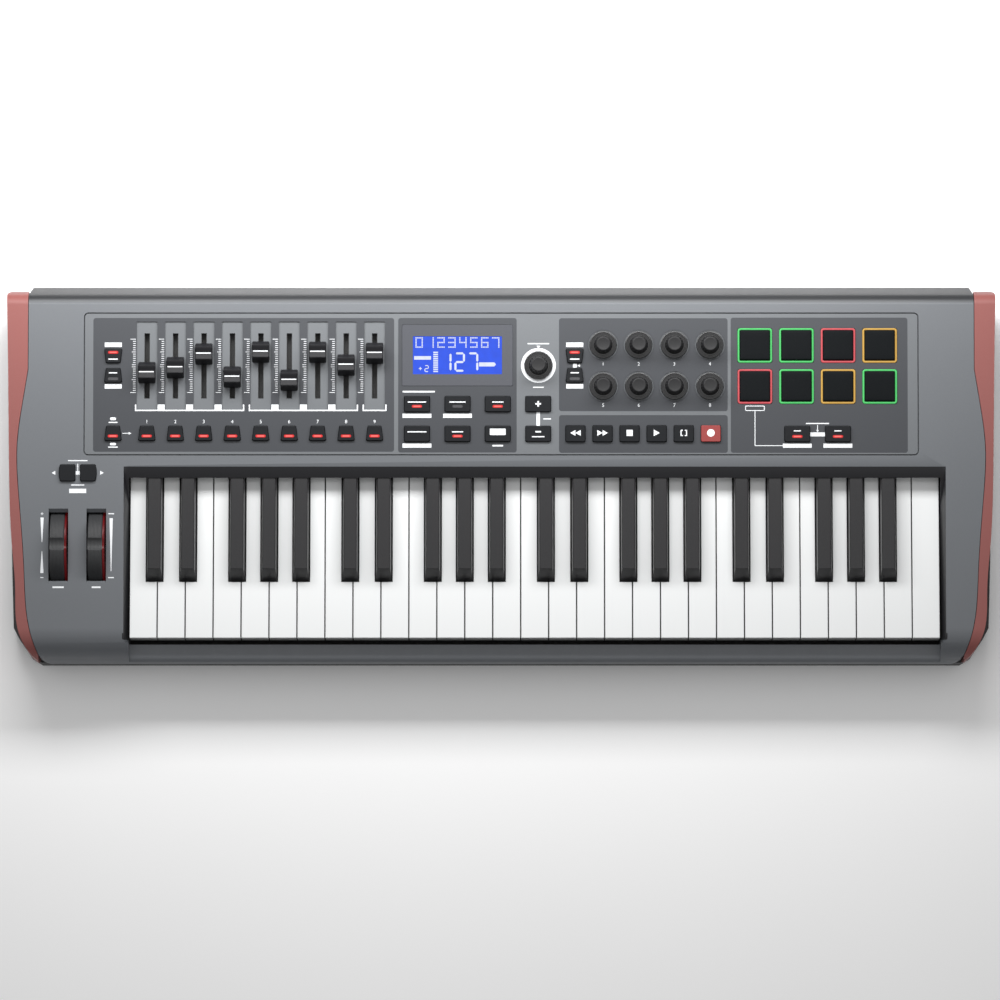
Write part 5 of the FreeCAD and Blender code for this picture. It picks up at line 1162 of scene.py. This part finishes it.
data_x, data_v = middle(knobs["data_knob"])
for bank, way in ((bank_left, 1), (bank_left_low, -1), (bank_right, 1), (bank_right_low, -1)):
    ticks += strokes(bank, (0, way * LABEL_AWAY, *LABEL))
for button in (edits[0], edits[1], edits[4], roll, arp):
    ticks += strokes(button, (0, -WIDE_LABEL_AWAY, *WIDE_LABEL))
bank_v, sign_v, roll_arp = (bank_right[1] + bank_right_low[1]) / 2, (plus[1] + minus[1]) / 2, (roll[0] + arp[0]) / 2
ticks += strokes((bank_right[0], bank_v), (0.2, 0, 3.2, 3.4))
ticks.append(arrow_head(bank_right[0] + 3.4, bank_v, 2.0, 2.4, -1))
ticks += strokes((plus[0], sign_v), (0, 0, 3.0, plus[1] - minus[1] - 13.6), (7.5, 0, 6.5, STROKE))
ticks += strokes((data_x, data_v), (0, 18.4, 18.0, STROKE), (0, -18.4, 9.0, STROKE))
ticks += strokes(edits[0], (1.5, 10.4, 27.0, THICK_STROKE)) + strokes(shift, (0, -10.0, 9.0, THICK_STROKE))
ticks += strokes((roll_arp, roll[1]), (0, -0.4, arp[0] - roll[0] - 21.8, 3.3), (0, 8.8, 19.5, STROKE),
                 (0, 5.0, 0.6, 5.0))
ticks.append(down_head(roll_arp, roll[1] + 1.5, 1.2, 1.7))
tag_x, tag_v = middle(pad_boxes[4]) - (0, TAG_DOWN)
for side in (-1, 1):
    ticks += strokes((tag_x, tag_v), (0, side * (TAG[1] - LINK) / 2, TAG[0], LINK),
                     (side * (TAG[0] - LINK) / 2, 0, LINK, TAG[1]))
tag_foot, link_v, link_end = tag_v - TAG[1] / 2, roll[1] - WIDE_LABEL_AWAY, roll[0] - LINK_SHORT
ticks.append(strip(tag_x, (tag_foot + link_v) / 2, LINK, tag_foot - link_v))
ticks.append(strip((tag_x + link_end) / 2, link_v, link_end - tag_x, LINK))
tenth_x, tenth_v = fader_keys[0]
ticks += [pill(tenth_x, tenth_v + 12.3, 5.2, 2.4), pill(tenth_x, tenth_v - 9.0, 5.2, 2.2)]
ticks += strokes(fader_keys[0], (0, 9.2, 7.6, STROKE), (0, -11.6, 8.0, STROKE), (10.6, 0, 5.4, 0.55))
ticks.append(arrow_head(tenth_x + 14.3, tenth_v, 2.2, 2.2))

# %% Marks round the wheels and the octave buttons
OCTAVE_ARROW_AWAY = 11.4
octaves = in_order("octave_buttons")
for (x, v), way in zip(octaves, (-1, 1)):
    ticks.append(arrow_head(x + way * OCTAVE_ARROW_AWAY, v, 3.1, 3.4, way))
ticks += strokes((octaves[0] + octaves[1]) / 2, (0, 0, 3.4, 3.0), (0, 4.6, 0.7, 6.2), (0, 10.3, 16.5, STROKE),
                 (0, -10.2, 11.0, STROKE), (0, -15.2, *LABEL))
wheel_mid = {node: to_deck([(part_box(node)[0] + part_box(node)[1]) / 2])[0] for node in wheel_joints}
pitch_x, wheel_v = wheel_mid["pitch_wheel"][:2]
mod_x = wheel_mid["mod_wheel"][0]
TAPER_WIDE, TAPER_THIN = 1.4, 0.25
PITCH_MARK_LEFT, MOD_MARK_RIGHT = 13.7, 12.5


def taper(x, wide_v, thin_v):
    """A wedge that narrows from one v to another."""
    ring = [(x - TAPER_WIDE, wide_v), (x + TAPER_WIDE, wide_v), (x + TAPER_THIN, thin_v), (x - TAPER_THIN, thin_v)]
    return ring if thin_v > wide_v else ring[::-1]


left_x, right_x = pitch_x - PITCH_MARK_LEFT, mod_x + MOD_MARK_RIGHT
for x, wide, thin in ((left_x, 25.2, 4.6), (left_x, -21.5, -3.2), (right_x, 24.7, -19.8)):
    ticks.append(taper(x, wheel_v + wide, wheel_v + thin))
ticks += strokes((left_x, wheel_v), (0, 28.4, 2.2, 0.6), (0, 28.4, 0.6, 2.2), (0, -25.3, 2.6, 0.6))
ticks += strokes((right_x, wheel_v), (0, 28.4, 4.8, STROKE), (0, -25.3, 4.8, STROKE))
ticks += strokes((pitch_x, wheel_v), (0, -33.4, 9.5, 1.4)) + strokes((mod_x, wheel_v), (0, -33.4, 7.5, 1.4))

# %% The ring round the data knob, and all the print as one piece
PRINT_LOW, PRINT_HIGH = -0.06, 0.05
RING_OUTER_RADIUS, RING_INNER_RADIUS, RING_STEPS = 14.6, 12.0, 96
ring_turn = np.linspace(0, 2 * math.pi, RING_STEPS, endpoint=False)
circle = np.stack([np.cos(ring_turn), np.sin(ring_turn)], -1)
ring = [at_height(radius * circle + (data_x, data_v), w)
        for radius, w in ((RING_OUTER_RADIUS, PRINT_LOW), (RING_OUTER_RADIUS, PRINT_HIGH),
                          (RING_INNER_RADIUS, PRINT_HIGH), (RING_INNER_RADIUS, PRINT_LOW))]
pointer = down_head(data_x, data_v + 14.4, 1.6, 2.2)
marks = together([raised(ticks, PRINT_LOW, PRINT_HIGH), outward(*closed_tube(ring)),
                  raised([pointer], PRINT_LOW, PRINT_HIGH)] + numerals)
deck_piece("printed_marks", marks, "print_white", "case")
print(len(ticks), "printed shapes and", len(numerals), "numerals")

# %% [markdown]
# ## Floor, light and camera
# The keyboard lies on a white floor. One wide, soft lamp stands low behind it, so the sloping deck is brightest at
# the back and fades towards the keys. The room is bright overhead and dark at the horizon. That fills the front
# without a second lamp, and leaves the upright faces dark.

# %% The floor
FLOOR_HALF = 3.0
floor_mesh = bpy.data.meshes.new("floor")
floor_mesh.from_pydata([(x * FLOOR_HALF, y * FLOOR_HALF, 0) for x, y in ((-1, -1), (1, -1), (1, 1), (-1, 1))], [],
                       [(0, 1, 2, 3)])
floor_paint, floor_tree, floor_shader = new_material("floor_pale")
floor_cloud = use_group(floor_tree, GRAIN, Grain_size_mm=1.5, Cloud_size_mm=400.0)
floor_tree.links.new(blended(floor_tree, floor_cloud.outputs["Cloud"], (0.97, 0.97, 0.97, 1), (0.94, 0.94, 0.94, 1)),
                     floor_shader.inputs["Base Color"])
floor_shader.inputs["Roughness"].default_value = 0.9
floor_mesh.materials.append(floor_paint)
floor = bpy.data.objects.new("floor", floor_mesh)
bpy.context.scene.collection.objects.link(floor)

# %% The lights
def soft_lamp(name, place, aim, watts, width, height):
    """A rectangular lamp that faces a point and isn't itself in the picture."""
    light = bpy.data.lights.new(name, "AREA")
    light.shape = "RECTANGLE"
    light.size, light.size_y, light.energy = width, height, watts
    lamp = bpy.data.objects.new(name, light)
    lamp.location = place
    lamp.rotation_mode = "QUATERNION"
    lamp.rotation_quaternion = Vector(np.array(aim) - np.array(place)).to_track_quat("-Z", "Y")
    lamp.visible_camera = False
    bpy.context.scene.collection.objects.link(lamp)
    return lamp


LAMP_PLACE, LAMP_AIM = (-0.06, 0.34, 0.42), (-0.06, 0.26, 0.08)
LAMP_WATTS, LAMP_WIDTH, LAMP_HEIGHT = 7.0, 1.0, 0.2
soft_lamp("lamp_behind", LAMP_PLACE, LAMP_AIM, LAMP_WATTS, LAMP_WIDTH, LAMP_HEIGHT)


def overhead_world(strength):
    """A room that is bright overhead and dark at the horizon: its light falls with the square of the height."""
    world = bpy.data.worlds.new("studio")
    world.use_nodes = True
    tree = world.node_tree
    way = node_of(tree, "ShaderNodeSeparateXYZ", Vector=node_of(tree, "ShaderNodeTexCoord").outputs["Generated"])
    up = maths(tree, "MAXIMUM", way.outputs["Z"], 0.0)
    sky = maths(tree, "MULTIPLY", maths(tree, "MULTIPLY", up, up), strength)
    tree.links.new(sky, tree.nodes["Background"].inputs["Strength"])
    tree.nodes["Background"].inputs["Color"].default_value = (1, 1, 1, 1)
    return world


OVERHEAD_STRENGTH = 1.0
bpy.context.scene.world = overhead_world(OVERHEAD_STRENGTH)

# %% The camera
VIEW_ELEVATION = 82.0             # degrees above the horizon
VIEW_DISTANCE = 5.9
VIEW_LENS = 253.0
VIEW_AIM = (-0.001, -0.0241, 0.0766)
camera = bpy.data.objects.new("camera", bpy.data.cameras.new("camera"))
camera.data.sensor_width = 36.0
camera.data.lens = VIEW_LENS
camera.data.clip_end = 50.0
rise = math.radians(VIEW_ELEVATION)
camera.location = (VIEW_AIM[0], VIEW_AIM[1] - VIEW_DISTANCE * math.cos(rise),
                   VIEW_AIM[2] + VIEW_DISTANCE * math.sin(rise))
camera.rotation_euler = (math.pi / 2 - rise, 0, 0)
bpy.context.scene.collection.objects.link(camera)
bpy.context.scene.camera = camera

# %% The end
bpy.context.view_layer.update()
